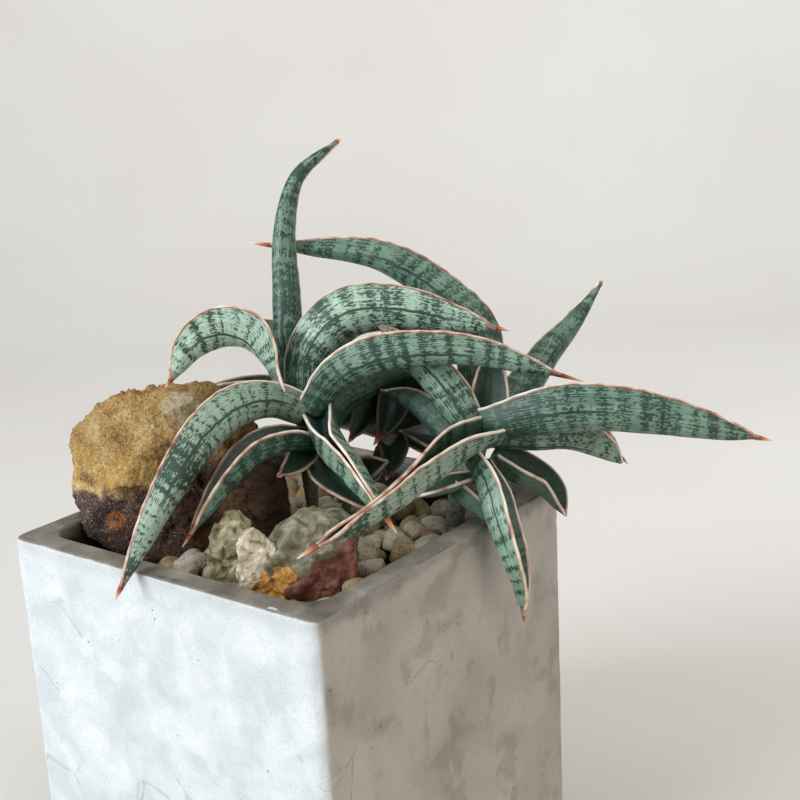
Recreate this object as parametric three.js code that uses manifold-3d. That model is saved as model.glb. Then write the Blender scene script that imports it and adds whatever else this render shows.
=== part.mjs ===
// A potted bella sansevieria: two rosettes of folded, arching leaves, with small dark leaves between them,
// on short stems in a square concrete pot. Pebbles cover the potting mix, with one large ironstone rock and
// three smaller stones.
// Millimetres, +Z up. The origin is the centre of the pot's underside.
import * as THREE from "three";
import { mergeVertices } from "three/addons/utils/BufferGeometryUtils.js";
import Module from "manifold-3d";

const wasm = await Module();
wasm.setup();

// Driving dimensions
const POT_SIDE = 120;
const POT_HEIGHT = 120;
const POT_WALL = 8;
const POT_FLOOR = 10;
const POT_EDGE = 2.5;
const POT_BEVEL = 1.5;
const POT_INNER_CORNER = 8;
const DRAIN_DIAMETER = 9;
const DRAIN_PITCH = 40;
const DRAIN_SIDES = 12;
const GAP = 0.3;
const SEAT_GAP = 0.4;
const SLIVER = 0.04;
const GRAVEL_LEVEL = 108;
const GRAVEL_SLOPE = 0.06;
const GRAVEL_LAYER = 5;
const GRAVEL_SWELL = 0.6;
const STEM_SIDES = 8;

// Pebbles: the pitch of their grid, how far they stray from it, and for each half size and the height
// above the layer the least value and how much is added at most
const PEBBLE = {
  seed: 41,
  pitch: 10.2,
  stray: 2,
  wallClearance: 4.9,
  long: [4.3, 0.9],
  wide: [3.7, 0.8],
  high: [2.9, 0.7],
  raised: [0.4, 0.8],
  smallestFace: 0.12,
};

// Blades: the rounded middle's share of the half width, the width at the base as a share of the widest
// place and where that place is, how fast width and thickness fall to the tip, the margin's thickness,
// the least half width and thickness, the least radius of its bend as a share of the skin there, half the
// narrowest slit between its margins, the distance between rings, and the spine's end as a share of its foot
const BLADE = {
  bend: 0.45,
  baseShare: 0.68,
  widestAt: 0.35,
  widthFall: 0.8,
  thickFall: 0.6,
  margin: 1.2,
  leastHalf: 0.7,
  leastMiddle: 1.3,
  bendRoom: 1.15,
  slit: 0.08,
  ringPitch: 9,
  leastRings: 5,
  spineEnd: 0.45,
};

// Colours and finish of each kind of piece
const LOOK = {
  concrete: { color: 0xb4b6b6, roughness: 0.85, metalness: 0 },
  soil: { color: 0x3b3029, roughness: 1, metalness: 0 },
  pebble: { color: 0xcdbf9f, roughness: 0.8, metalness: 0 },
  ironstone: { color: 0x9c7440, roughness: 0.85, metalness: 0 },
  greystone: { color: 0x8a8474, roughness: 0.8, metalness: 0 },
  leaf: { color: 0x6f9a84, roughness: 0.5, metalness: 0 },
  stem: { color: 0x74806f, roughness: 0.7, metalness: 0 },
};

const part = new THREE.Group();

// A solid from any closed geometry, with its shared corners merged
function solidOf(geometry) {
  geometry.deleteAttribute("normal");
  geometry.deleteAttribute("uv");
  const merged = mergeVertices(geometry, 1e-4);
  const vertProperties = new Float32Array(merged.attributes.position.array);
  const triVerts = new Uint32Array(merged.index.array);
  return new wasm.Manifold(new wasm.Mesh({ numProp: 3, vertProperties, triVerts }));
}

// A solid's triangles, listed from the largest to the smallest
function trianglesBySize({ vertProperties, triVerts }) {
  const corner = (index) => new THREE.Vector3().fromArray(vertProperties, 3 * index);
  const triangles = [];
  for (let i = 0; i < triVerts.length; i += 3) {
    const corners = [...triVerts.slice(i, i + 3)];
    const area = new THREE.Triangle(...corners.map(corner)).getArea();
    triangles.push({ corners, area });
  }
  triangles.sort((one, other) => other.area - one.area);
  return triangles.flatMap(({ corners }) => corners);
}

function geometryOf(solid) {
  const mesh = solid.getMesh();
  const geometry = new THREE.BufferGeometry();
  geometry.setAttribute("position", new THREE.BufferAttribute(mesh.vertProperties, 3));
  geometry.setIndex(trianglesBySize(mesh));
  return geometry;
}

function largestPiece(solid) {
  const pieces = solid.decompose();
  return pieces.reduce((best, piece) => (piece.volume() > best.volume() ? piece : best));
}

function addPiece(name, solid, look) {
  const mesh = new THREE.Mesh(geometryOf(solid), new THREE.MeshStandardMaterial(LOOK[look]));
  mesh.name = name;
  part.add(mesh);
}

// Rings of equal length joined side by side and capped at both ends. A ring's second half mirrors its
// first, so its quads are split the other way, which keeps both faces of a thin blade alike.
function loft(rings) {
  const count = rings[0].length;
  const corners = rings.flat().flatMap((point) => [point.x, point.y, point.z]);
  const faces = [];
  for (let i = 0; i + 1 < rings.length; i += 1) {
    for (let k = 0; k < count; k += 1) {
      const next = (k + 1) % count;
      const a = i * count + k;
      const b = i * count + next;
      const c = a + count;
      const d = b + count;
      if (k < count / 2) faces.push(a, b, d, a, d, c);
      else faces.push(a, b, c, b, d, c);
    }
  }
  const last = (rings.length - 1) * count;
  for (let k = 0; k < count / 2 - 1; k += 1) {
    const far = count - 1 - k;
    faces.push(k, far, k + 1, k + 1, far, far - 1);
    faces.push(last + k, last + k + 1, last + far, last + k + 1, last + far - 1, last + far);
  }
  const geometry = new THREE.BufferGeometry();
  geometry.setAttribute("position", new THREE.BufferAttribute(new Float32Array(corners), 3));
  geometry.setIndex(faces);
  return solidOf(geometry);
}

function smoothStep(low, high, value) {
  return THREE.MathUtils.smoothstep(value, low, high);
}

function seededRandom(seed) {
  let state = seed;
  return () => {
    state = (state + 0x6d2b79f5) | 0;
    let mixed = Math.imul(state ^ (state >>> 15), 1 | state);
    mixed = (mixed + Math.imul(mixed ^ (mixed >>> 7), 61 | mixed)) ^ mixed;
    return ((mixed ^ (mixed >>> 14)) >>> 0) / 4294967296;
  };
}

// Square outline with round corners, as a shape in the XY plane
function roundedSquare(half, corner) {
  const shape = new THREE.Shape();
  shape.absarc(half - corner, half - corner, corner, 0, Math.PI / 2);
  shape.absarc(corner - half, half - corner, corner, Math.PI / 2, Math.PI);
  shape.absarc(corner - half, corner - half, corner, Math.PI, Math.PI * 1.5);
  shape.absarc(half - corner, corner - half, corner, Math.PI * 1.5, Math.PI * 2);
  shape.closePath();
  return shape;
}

// Pot: a cast cube with soft edges, a pocket with round corners and four drain holes
function makePot() {
  const outline = roundedSquare(POT_SIDE / 2 - POT_BEVEL, POT_EDGE);
  const body = new THREE.ExtrudeGeometry(outline, {
    depth: POT_HEIGHT - 2 * POT_BEVEL,
    curveSegments: 2,
    bevelThickness: POT_BEVEL,
    bevelSize: POT_BEVEL,
    bevelSegments: 2,
  });
  body.translate(0, 0, POT_BEVEL);
  const pocketHalf = POT_SIDE / 2 - POT_WALL;
  const pocket = new THREE.ExtrudeGeometry(roundedSquare(pocketHalf, POT_INNER_CORNER), {
    depth: POT_HEIGHT,
    curveSegments: 4,
    bevelEnabled: false,
  });
  pocket.translate(0, 0, POT_FLOOR);
  let solid = solidOf(body).subtract(solidOf(pocket));
  const drainRadius = DRAIN_DIAMETER / 2;
  for (const x of [-0.5, 0.5]) {
    for (const y of [-0.5, 0.5]) {
      const drain = new THREE.CylinderGeometry(drainRadius, drainRadius, POT_FLOOR * 3, DRAIN_SIDES);
      drain.rotateX(Math.PI / 2);
      drain.translate(x * DRAIN_PITCH, y * DRAIN_PITCH, 0);
      solid = solid.subtract(solidOf(drain));
    }
  }
  return solid;
}

// Height of the pebble layer's middle: it rises gently to the right and swells a little
function gravelHeight(x, y) {
  const swell = Math.sin(x / 17) * Math.cos(y / 19);
  return GRAVEL_LEVEL + GRAVEL_SLOPE * x + GRAVEL_SWELL * swell;
}

// A layer that fills the pot's pocket between two heights, on rings of shrinking rounded squares
function pocketLayer(lowHeight, highHeight, scales) {
  const half = POT_SIDE / 2 - POT_WALL - GAP;
  const outline = roundedSquare(half, POT_INNER_CORNER - GAP).getPoints(3);
  const edge = outline.slice(0, -1);
  const rings = scales.map((scale) => edge.map((p) => p.clone().multiplyScalar(scale)));
  const top = rings.map((ring) => ring.map((p) => new THREE.Vector3(p.x, p.y, highHeight(p.x, p.y))));
  const base = rings.map((ring) => ring.map((p) => new THREE.Vector3(p.x, p.y, lowHeight(p.x, p.y))));
  return loftRound([...top, ...base.reverse()]);
}

// Rings joined side by side, with a fan at both ends
function loftRound(rings) {
  const count = rings[0].length;
  const ends = [rings[0], rings[rings.length - 1]];
  const centres = ends.map((ring) =>
    ring.reduce((sum, point) => sum.add(point), new THREE.Vector3()).divideScalar(count));
  const corners = [...rings.flat(), ...centres].flatMap((point) => [point.x, point.y, point.z]);
  const first = rings.length * count;
  const last = (rings.length - 1) * count;
  const faces = [];
  for (let k = 0; k < count; k += 1) {
    const next = (k + 1) % count;
    for (let i = 0; i + 1 < rings.length; i += 1) {
      const low = i * count;
      faces.push(low + k, low + count + k, low + count + next, low + k, low + count + next, low + next);
    }
    faces.push(first, k, next, first + 1, last + next, last + k);
  }
  const geometry = new THREE.BufferGeometry();
  geometry.setAttribute("position", new THREE.BufferAttribute(new Float32Array(corners), 3));
  geometry.setIndex(faces);
  return solidOf(geometry);
}

// Rock or stone: a ball cut back by flat faces and roughened, with its foot in the pebbles.
// Each cut is a compass direction, a tilt above the horizon and a distance from the centre. A cut that a
// direction only grazes doesn't limit it.
const GRAZING = 0.05;

function makeStone({ centre, cuts, detail, rough, seed }, grow = 0) {
  const planes = cuts.map(([heading, tilt, distance]) => {
    const h = THREE.MathUtils.degToRad(heading);
    const t = THREE.MathUtils.degToRad(tilt);
    const normal = new THREE.Vector3(Math.cos(h) * Math.cos(t), Math.sin(h) * Math.cos(t), Math.sin(t));
    return { normal, distance };
  });
  const ball = new THREE.IcosahedronGeometry(1, detail);
  ball.deleteAttribute("normal");
  ball.deleteAttribute("uv");
  const merged = mergeVertices(ball, 1e-4);
  const place = merged.attributes.position;
  const point = new THREE.Vector3();
  for (let i = 0; i < place.count; i += 1) {
    point.fromBufferAttribute(place, i).normalize();
    const reach = planes.map(({ normal, distance }) => distance / Math.max(normal.dot(point), GRAZING));
    const { x, y, z } = point;
    const wave = Math.sin(x * 9 + seed) * Math.cos(y * 11 - seed) * Math.sin(z * 10 + 2 * seed);
    const radius = Math.min(...reach) + rough * wave + grow;
    point.multiplyScalar(radius);
    place.setXYZ(i, point.x + centre[0], point.y + centre[1], point.z + centre[2]);
  }
  return solidOf(merged);
}

const ROCK = {
  centre: [-29, -14, 131],
  detail: 5,
  rough: 0.9,
  seed: 1.3,
  cuts: [
    [217, 0, 40], [180, -28, 25.4], [200, -42, 29], [240, 30, 41], [190, 40, 40], [308, -5, 12],
    [318, 35, 18], [270, 25, 21], [335, -8, 22], [30, 5, 31], [340, 45, 20], [45, 35, 24], [60, 0, 27],
    [128, 0, 16], [140, 40, 23], [80, 40, 26], [0, 90, 29], [240, 65, 32], [0, -90, 27],
  ],
};

const STONES = {
  stone_front_left: {
    centre: [3, -31, 117],
    detail: 2,
    rough: 0.5,
    seed: 2.1,
    cuts: [
      [217, 0, 6], [37, 5, 7], [308, 10, 6], [128, 5, 6], [0, 90, 12], [217, 45, 9], [37, 40, 10],
      [0, -90, 11], [270, 50, 9],
    ],
  },
  stone_front_middle: {
    centre: [21, -37, 115],
    detail: 2,
    rough: 0.5,
    seed: 3.4,
    cuts: [
      [217, 0, 7], [37, 0, 10], [308, 15, 6], [128, 10, 6], [0, 90, 15.5], [37, 45, 9.5], [217, 50, 13],
      [0, -90, 10],
    ],
  },
  stone_front_right: {
    centre: [31, -21, 118],
    detail: 3,
    rough: 0.6,
    seed: 4.7,
    cuts: [
      [217, 0, 17], [37, 0, 9], [308, 5, 12], [128, 5, 12], [0, 90, 14], [37, 40, 12], [217, 42, 15],
      [308, 45, 14], [128, 45, 13], [0, -90, 11.7], [350, 10, 15],
    ],
  },
};

// Pebbles on a jittered grid, each a squashed low ball sunk into the layer
function pebbleSolids() {
  const random = seededRandom(PEBBLE.seed);
  const draw = ([least, more]) => least + random() * more;
  const stray = () => (random() - 0.5) * PEBBLE.stray;
  const reach = POT_SIDE / 2 - POT_WALL - GAP - PEBBLE.wallClearance;
  const steps = Math.floor(reach / PEBBLE.pitch);
  const pebbles = [];
  for (let row = -steps; row <= steps; row += 1) {
    for (let column = -steps; column <= steps; column += 1) {
      const shift = row % 2 === 0 ? 0 : PEBBLE.pitch / 2;
      const x = Math.min(column * PEBBLE.pitch + shift + stray(), reach);
      const y = row * PEBBLE.pitch + stray();
      const ball = new THREE.IcosahedronGeometry(1, 0);
      ball.rotateX(random() * Math.PI);
      ball.rotateZ(random() * Math.PI);
      ball.scale(draw(PEBBLE.long), draw(PEBBLE.wide), draw(PEBBLE.high));
      ball.rotateZ(random() * Math.PI);
      ball.translate(x, y, gravelHeight(x, y) + draw(PEBBLE.raised));
      pebbles.push(solidOf(ball));
    }
  }
  return pebbles;
}

// Stems: round, tapering, standing in plain holes. Each entry is a point and a radius.
const STEMS = {
  stem_left: [
    [-7, 17, 100, 1.9], [-6, 16, 118, 2], [-3, 13, 134, 3], [-2, 12, 146, 4.2], [-2, 13, 154, 2.4],
  ],
  stem_middle: [[-1, 24, 100, 1.6], [2, 25, 116, 1.7], [9, 30, 126, 2.4], [14, 33, 138, 2.8]],
  stem_right: [[38, 31, 100, 3], [40, 31, 118, 3.2], [45, 33, 134, 4.4], [48, 35, 146, 3.2]],
};

function makeStem(points, grow = 0) {
  const curve = new THREE.CatmullRomCurve3(points.map(([x, y, z]) => new THREE.Vector3(x, y, z)));
  const steps = 2 * (points.length - 1);
  const rings = [];
  for (let i = 0; i <= steps; i += 1) {
    const t = i / steps;
    const span = Math.min(Math.floor(i / 2), points.length - 2);
    const radius = THREE.MathUtils.lerp(points[span][3], points[span + 1][3], i / 2 - span) + grow;
    const along = curve.getTangent(t);
    const side = new THREE.Vector3(0, 1, 0).cross(along).normalize();
    const front = along.clone().cross(side);
    const centre = curve.getPoint(t).addScaledVector(along, i === steps ? grow : 0);
    const ring = [];
    for (let k = 0; k < STEM_SIDES; k += 1) {
      const angle = (2 * Math.PI * k) / STEM_SIDES;
      const out = side.clone().multiplyScalar(Math.cos(angle) * radius);
      ring.push(out.addScaledVector(front, Math.sin(angle) * radius).add(centre));
    }
    rings.push(ring);
  }
  return loftRound(rings.reverse());
}

// Leaves. The route runs along the middle of the blade from the base to where the spine starts.
// "open" is where the channel faces, from the base to the tip, "width" is the blade laid flat,
// "fold" is how steeply its two sides rise, from the base to the tip, in degrees.
const LEAVES = {
  leaf_upright: {
    route: [[-7, 15, 150], [-13, 18, 165], [-18, 24, 183], [-22, 30, 201], [-20, 36, 217], [-10, 44, 227]],
    open: [[-0.3, 0.9, -0.2], [-0.6, 0.8, -0.3]], width: 13.5, fold: [52, 70], thick: 4, taper: 2.4, spine: 2,
  },
  leaf_arch_front: {
    route: [[1, 11, 150], [10, 13, 161], [21, 17, 167], [34, 24, 169], [48, 32, 168], [68, 46, 160]],
    open: [[-0.8, 0, 0.4], [-0.4, 0.5, 0.8], [-0.4, 0.5, 0.8]],
    width: 20, fold: [58, 60], thick: 4.2, taper: 3, spine: 8,
  },
  leaf_front_left: {
    route: [[-1, 9, 149], [-6, 2, 153], [-9, -10, 154], [-8, -26, 150], [-6, -46, 137], [-5, -66, 118]],
    open: [[-0.5, 0.6, 0.5], [-0.8, 0.1, 0.15], [-0.8, -0.1, -0.1]],
    width: 21, fold: [52, 50], thick: 4.2, taper: 2.2, spine: 4,
  },
  leaf_arch_left: {
    route: [[-4, 10, 152], [-10, 12, 165], [-18, 8, 173], [-25, 1, 174], [-28, -8, 171], [-30, -17, 162]],
    open: [[0.9, 0, 0.6], [0.5, 0.1, 0.9], [-0.2, 0.35, 0.9], [-0.85, 0.2, 0.45], [-1, -0.1, -0.1]],
    width: 30, fold: [55, 50], thick: 4, taper: 2.6, spine: 3,
  },
  leaf_arch_top: {
    route: [[-3, 13, 152], [-2, 17, 165], [7, 25, 176], [21, 34, 177], [35, 41, 174], [46, 46, 172]],
    open: [[-0.8, 0.2, -0.1], [-0.5, 0.8, 0.4], [-0.5, 0.7, 0.5]],
    width: 24, fold: [50, 55], thick: 4.4, taper: 3.4, spine: 5,
  },
  leaf_drooping_left: {
    route: [[3, 8, 141], [1, -2, 144], [-1, -15, 143], [-1, -26, 138], [-1, -35, 132], [-2, -41, 126]],
    open: [[0.1, -0.1, 1], [-0.3, -0.5, 0.8], [-0.4, -0.8, 0.2]],
    width: 18, fold: [60, 72], thick: 3.6, taper: 2.4, spine: 5,
  },
  leaf_small_left: {
    route: [[-7, 13, 153], [-17, 11, 155], [-27, 6, 155], [-35, 0, 154]],
    open: [[0, 0, 1], [0, 0, 1]], width: 12, fold: [55, 60], thick: 3, taper: 2.2, spine: 3,
  },
  leaf_folded_front: {
    route: [[4, 11, 148], [13, 4, 143], [24, 0, 138], [33, -3, 132], [40, -5, 127]],
    open: [[0.2, -0.6, 0.8], [0.2, -0.6, 0.8]],
    width: 24, fold: [68, 104, 108, 108], thick: 4, taper: 2.8, spine: 7,
  },
  leaf_bract: {
    route: [[1, 9, 139], [3, 0, 136], [3, -8, 134]],
    open: [[0.6, -0.8, 0.3], [0.6, -0.8, 0.3]], width: 11, fold: [35, 30], thick: 2, taper: 1.8, spine: 1,
  },
  leaf_low_dark: {
    route: [[3, 11, 134], [12, 5, 132], [22, 2, 129], [31, 1, 125]],
    open: [[0.4, -0.5, 0.7], [0.4, -0.5, 0.7]], width: 14, fold: [35, 40], thick: 3, taper: 2.4, spine: 2,
  },
  leaf_over_stones: {
    route: [[53, 33, 144], [51, 17, 144], [49, 3, 140], [48, -12, 136], [46, -26, 133], [43, -37, 130]],
    open: [[0.4, -0.2, 0.9], [0.4, -0.2, 0.9]],
    width: 23, fold: [72, 90, 106, 108, 108], thick: 4, taper: 2.4, spine: 8,
  },
  leaf_long_right: {
    route: [[50, 34, 144], [63, 39, 148], [75, 44, 150], [87, 49, 150], [99, 55, 148], [121, 68, 142]],
    open: [[-0.4, 0.6, 0.6], [-0.4, 0.6, 0.6]], width: 25, fold: [50, 55], thick: 4.4, taper: 2.8, spine: 5,
  },
  leaf_over_rim: {
    route: [[51, 27, 137], [60, 21, 132], [68, 14, 125], [73, 12, 115], [74, 14, 105], [73, 16, 96]],
    open: [[0.3, 0.5, 0.6], [0.9, 0.3, 0.2], [0.9, 0.3, 0.2]],
    width: 19, fold: [58, 70], thick: 3.8, taper: 2.4, spine: 5,
  },
  leaf_right_corner: {
    route: [[52, 35, 136], [58, 39, 131], [65, 43, 126], [72, 42, 118]],
    open: [[0.5, 0.2, 0.7], [0.5, 0.2, 0.7]], width: 20, fold: [52, 50], thick: 3.4, taper: 3, spine: 1,
  },
  leaf_under_right: {
    route: [[50, 35, 141], [59, 43, 140], [70, 52, 139], [77, 57, 135], [82, 59, 131]],
    open: [[-0.4, 0.6, 0.6], [-0.4, 0.6, 0.6]], width: 15, fold: [45, 50], thick: 3.6, taper: 6, spine: 0.5,
  },
  leaf_under_rim: {
    route: [[46, 22, 128], [54, 19, 126], [61, 19, 122], [65, 19, 116]],
    open: [[0.3, 0.7, 0.6], [0.3, 0.7, 0.6]], width: 11, fold: [45, 50], thick: 3, taper: 2.4, spine: 1,
  },
  leaf_torn: {
    route: [[51, 27, 131], [48, 17, 131], [43, 6, 130]],
    open: [[0, 0, 1], [0, 0, 1]], width: 10, fold: [50, 30], thick: 2, taper: 5, spine: 0.5,
  },
  leaf_back_arch: {
    route: [[45, 37, 144], [40, 47, 157], [34, 53, 167], [21, 54, 178], [3, 48, 190], [-29, 32, 195]],
    open: [[-0.6, 0.8, -0.3], [-0.5, 0.7, 0.5], [-0.5, 0.7, 0.5]],
    width: 20, fold: [40, 55], thick: 4, taper: 2.6, spine: 8,
  },
  leaf_inner_upright: {
    route: [[49, 36, 142], [48, 39, 150], [47, 42, 159], [45, 44, 165]],
    open: [[0.5, -0.8, 0.3], [0.5, -0.8, 0.3]], width: 15, fold: [45, 50], thick: 3, taper: 3.4, spine: 1,
  },
  leaf_back_right: {
    route: [[49, 38, 144], [51, 57, 153], [52, 68, 160], [55, 79, 168], [58, 90, 178]],
    open: [[-0.7, 0.4, -0.2], [-0.7, 0.4, -0.2]], width: 16, fold: [45, 50], thick: 3.6, taper: 1.8, spine: 2,
  },
  leaf_inner_broad: {
    route: [[47, 34, 141], [41, 33, 148], [35, 32, 156], [27, 30, 164], [17, 27, 174]],
    open: [[-0.1, 0.8, 0.2], [-0.1, 0.8, 0.2]], width: 18, fold: [45, 50], thick: 3.6, taper: 3, spine: 3,
  },
  leaf_inner_dark: {
    route: [[42, 30, 138], [32, 32, 145], [22, 34, 149], [13, 33, 151]],
    open: [[-0.1, 0.8, 0.4], [-0.1, 0.8, 0.4]], width: 15, fold: [45, 50], thick: 3.2, taper: 2.6, spine: 2,
  },
  leaf_middle_small: {
    route: [[10, 43, 149], [12, 37, 144], [13, 31, 139], [13, 28, 137]],
    open: [[0.6, -0.7, 0.4], [0.6, -0.7, 0.4]], width: 14, fold: [45, 50], thick: 2.4, taper: 2.2, spine: 3,
  },
  leaf_middle_left: {
    route: [[5, 42, 149], [4, 35, 143], [3, 27, 136]],
    open: [[0.4, -0.8, 0.3], [0.4, -0.8, 0.3]], width: 11, fold: [30, 30], thick: 2.4, taper: 2.4, spine: 2,
  },
  leaf_middle_low: {
    route: [[13, 36, 136], [17, 30, 132], [19, 24, 127]],
    open: [[0.6, -0.7, 0.4], [0.6, -0.7, 0.4]], width: 11, fold: [35, 40], thick: 2.4, taper: 2.4, spine: 2,
  },
  leaf_middle_right: {
    route: [[37, 33, 136], [27, 36, 137], [18, 35, 138]],
    open: [[0.2, -0.4, 0.9], [0.2, -0.4, 0.9]], width: 13, fold: [45, 50], thick: 3, taper: 2.6, spine: 2,
  },
  leaf_middle_rear: {
    route: [[44, 37, 137], [33, 45, 138], [21, 50, 139], [8, 50, 140], [-4, 44, 138], [-11, 38, 135]],
    open: [[0.4, -0.8, 0.3], [0.4, -0.8, 0.3]], width: 28, fold: [30, 35], thick: 3, taper: 4, spine: 2,
  },
  leaf_middle_back: {
    route: [[2, 17, 144], [2, 26, 150], [6, 37, 153], [14, 49, 154]],
    open: [[-0.5, 0.7, 0.5], [-0.5, 0.7, 0.5]], width: 23, fold: [45, 50], thick: 3.2, taper: 3, spine: 3,
  },
  leaf_middle_front: {
    route: [[9, 27, 125], [15, 20, 130], [22, 20, 133]],
    open: [[0.6, -0.7, 0.4], [0.6, -0.7, 0.4]], width: 11, fold: [30, 40], thick: 2.4, taper: 2.4, spine: 1,
  },
  leaf_rear_left: {
    route: [[-4, 17, 150], [-16, 27, 158], [-30, 38, 158], [-43, 49, 148], [-53, 58, 134]],
    open: [[0.4, -0.3, 1], [-0.3, 0.3, 1]], width: 18, fold: [55, 60], thick: 3.6, taper: 2.6, spine: 5,
  },
  leaf_rear_middle: {
    route: [[46, 37, 143], [42, 52, 151], [36, 66, 148], [31, 76, 136]],
    open: [[0, -0.6, 0.8], [0, 0.3, 1]], width: 17, fold: [55, 60], thick: 3.6, taper: 2.6, spine: 5,
  },
  leaf_rear_right: {
    route: [[50, 39, 140], [60, 52, 144], [68, 66, 138], [72, 77, 126]],
    open: [[-0.3, -0.3, 1], [0.3, 0.3, 1]], width: 17, fold: [55, 60], thick: 3.6, taper: 2.6, spine: 5,
  },
};

// The two entries of an evenly spread list that a place along the blade lies between, and how far it is
// from the first of them
function between(list, share) {
  const place = share * (list.length - 1);
  const low = Math.min(Math.floor(place), list.length - 2);
  return [list[low], list[low + 1], place - low];
}

function vectorAlong(list, share) {
  const [first, next, part] = between(list, share);
  return new THREE.Vector3().fromArray(first).lerp(new THREE.Vector3().fromArray(next), part);
}

// Distance across and up the folded blade, and the lean of its surface, at a share of the half width
function foldAt(share, half, angle) {
  const turned = Math.min(share, BLADE.bend) / BLADE.bend;
  const radius = (half * BLADE.bend) / angle;
  const lean = angle * turned;
  const flat = Math.max(share - BLADE.bend, 0) * half;
  const across = radius * Math.sin(lean) + flat * Math.cos(angle);
  const up = radius * (1 - Math.cos(lean)) + flat * Math.sin(angle);
  return { across, up, lean };
}

// One ring of the blade: its outer side from margin to margin, then its inner side back
function bladeRing(leaf, t, centre, along, grow) {
  const { open, width, fold, thick, taper } = leaf;
  const facing = vectorAlong(open, t);
  facing.addScaledVector(along, -facing.dot(along)).normalize();
  const side = facing.clone().cross(along);
  const swell = THREE.MathUtils.lerp(BLADE.baseShare, 1, smoothStep(0, BLADE.widestAt, t));
  const fall = Math.pow(Math.max(1 - Math.pow(t, taper), 0), BLADE.widthFall);
  const half = Math.max((width / 2) * swell * fall, BLADE.leastHalf);
  const middle = Math.max(thick * Math.pow(fall, BLADE.thickFall), BLADE.leastMiddle);
  const skinAt = (share) => (BLADE.margin + (middle - BLADE.margin) * (1 - share * share)) / 2;
  const tightest = (half * BLADE.bend) / (BLADE.bendRoom * skinAt(BLADE.bend));
  const angle = Math.min(THREE.MathUtils.degToRad(THREE.MathUtils.lerp(...between(fold, t))), tightest);
  const lift = foldAt(1, half, angle).up / 2;
  const shares = [-1, -BLADE.bend, 0, BLADE.bend, 1];
  const layer = (sign, order) => order.map((share) => {
    const { across, up, lean } = foldAt(Math.abs(share), half, angle);
    const hand = Math.sign(share);
    const skin = skinAt(share) + grow;
    const rim = Math.abs(share) === 1 ? grow : 0;
    const folded = across + rim * Math.cos(lean) - sign * skin * Math.sin(lean);
    const x = share === 0 ? 0 : Math.max(folded, BLADE.slit);
    const z = up + rim * Math.sin(lean) + sign * skin * Math.cos(lean) - lift;
    return centre.clone().addScaledVector(side, hand * x).addScaledVector(facing, z);
  });
  return [...layer(-1, shares), ...layer(1, [...shares].reverse())];
}

// A leaf, or with "grow" the space that its later neighbours keep clear of
function makeLeaf(leaf, grow = 0) {
  const curve = new THREE.CatmullRomCurve3(leaf.route.map((p) => new THREE.Vector3().fromArray(p)));
  const steps = Math.max(BLADE.leastRings, Math.round(curve.getLength() / BLADE.ringPitch));
  const rings = [];
  for (let i = 0; i <= steps; i += 1) {
    const t = i / steps;
    const along = curve.getTangentAt(t);
    const centre = curve.getPointAt(t);
    if (i === 0) centre.addScaledVector(along, -grow);
    rings.push(bladeRing(leaf, t, centre, along, grow));
  }
  const foot = curve.getPointAt(1);
  const tip = foot.clone().addScaledVector(curve.getTangentAt(1), leaf.spine + grow);
  rings.push(rings[steps].map((p) => p.clone().sub(foot).multiplyScalar(BLADE.spineEnd).add(tip)));
  return loft(rings);
}

function boxesMeet(a, b) {
  const p = a.boundingBox();
  const q = b.boundingBox();
  return [0, 1, 2].every((axis) => p.min[axis] < q.max[axis] && q.min[axis] < p.max[axis]);
}

// Every piece keeps a small gap to the pieces placed before it. Slivers that a cut leaves are smoothed away.
function cutClear(solid, obstacles) {
  const meeting = obstacles.filter((obstacle) => boxesMeet(solid, obstacle));
  if (meeting.length === 0) return solid;
  const cut = meeting.reduce((rest, obstacle) => rest.subtract(obstacle), solid);
  return largestPiece(cut).simplify(SLIVER);
}

addPiece("pot", makePot(), "concrete");

const seated = [ROCK, ...Object.values(STONES)].map((stone) => makeStone(stone, SEAT_GAP));
const holes = Object.values(STEMS).map((points) => makeStem(points, GAP));
const soilTop = (x) => GRAVEL_LEVEL - GRAVEL_LAYER + GRAVEL_SLOPE * x;
const soil = pocketLayer(() => POT_FLOOR + GAP, soilTop, [0.02, 1]);
const layer = pocketLayer((x) => soilTop(x) + GAP, gravelHeight, [0.02, 0.5, 1]);
const gravel = wasm.Manifold.union([layer, ...pebbleSolids()]);
addPiece("potting_soil", cutClear(soil, holes), "soil");
addPiece("gravel", cutClear(gravel, [...seated, ...holes]).simplify(PEBBLE.smallestFace), "pebble");

addPiece("rock_large", makeStone(ROCK), "ironstone");
const earlierStones = [];
for (const [name, stone] of Object.entries(STONES)) {
  addPiece(name, cutClear(makeStone(stone), earlierStones), "greystone");
  earlierStones.push(makeStone(stone, SEAT_GAP));
}

const placed = [];
for (const [name, points] of Object.entries(STEMS)) {
  addPiece(name, makeStem(points), "stem");
  placed.push(makeStem(points, GAP));
}
for (const [name, leaf] of Object.entries(LEAVES)) {
  addPiece(name, cutClear(makeLeaf(leaf), placed), "leaf");
  placed.push(makeLeaf(leaf, GAP));
}

export default part;
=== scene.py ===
import functools
import math
import random

import bmesh
import bpy
import numpy as np
from mathutils import Matrix, Vector, noise


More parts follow.
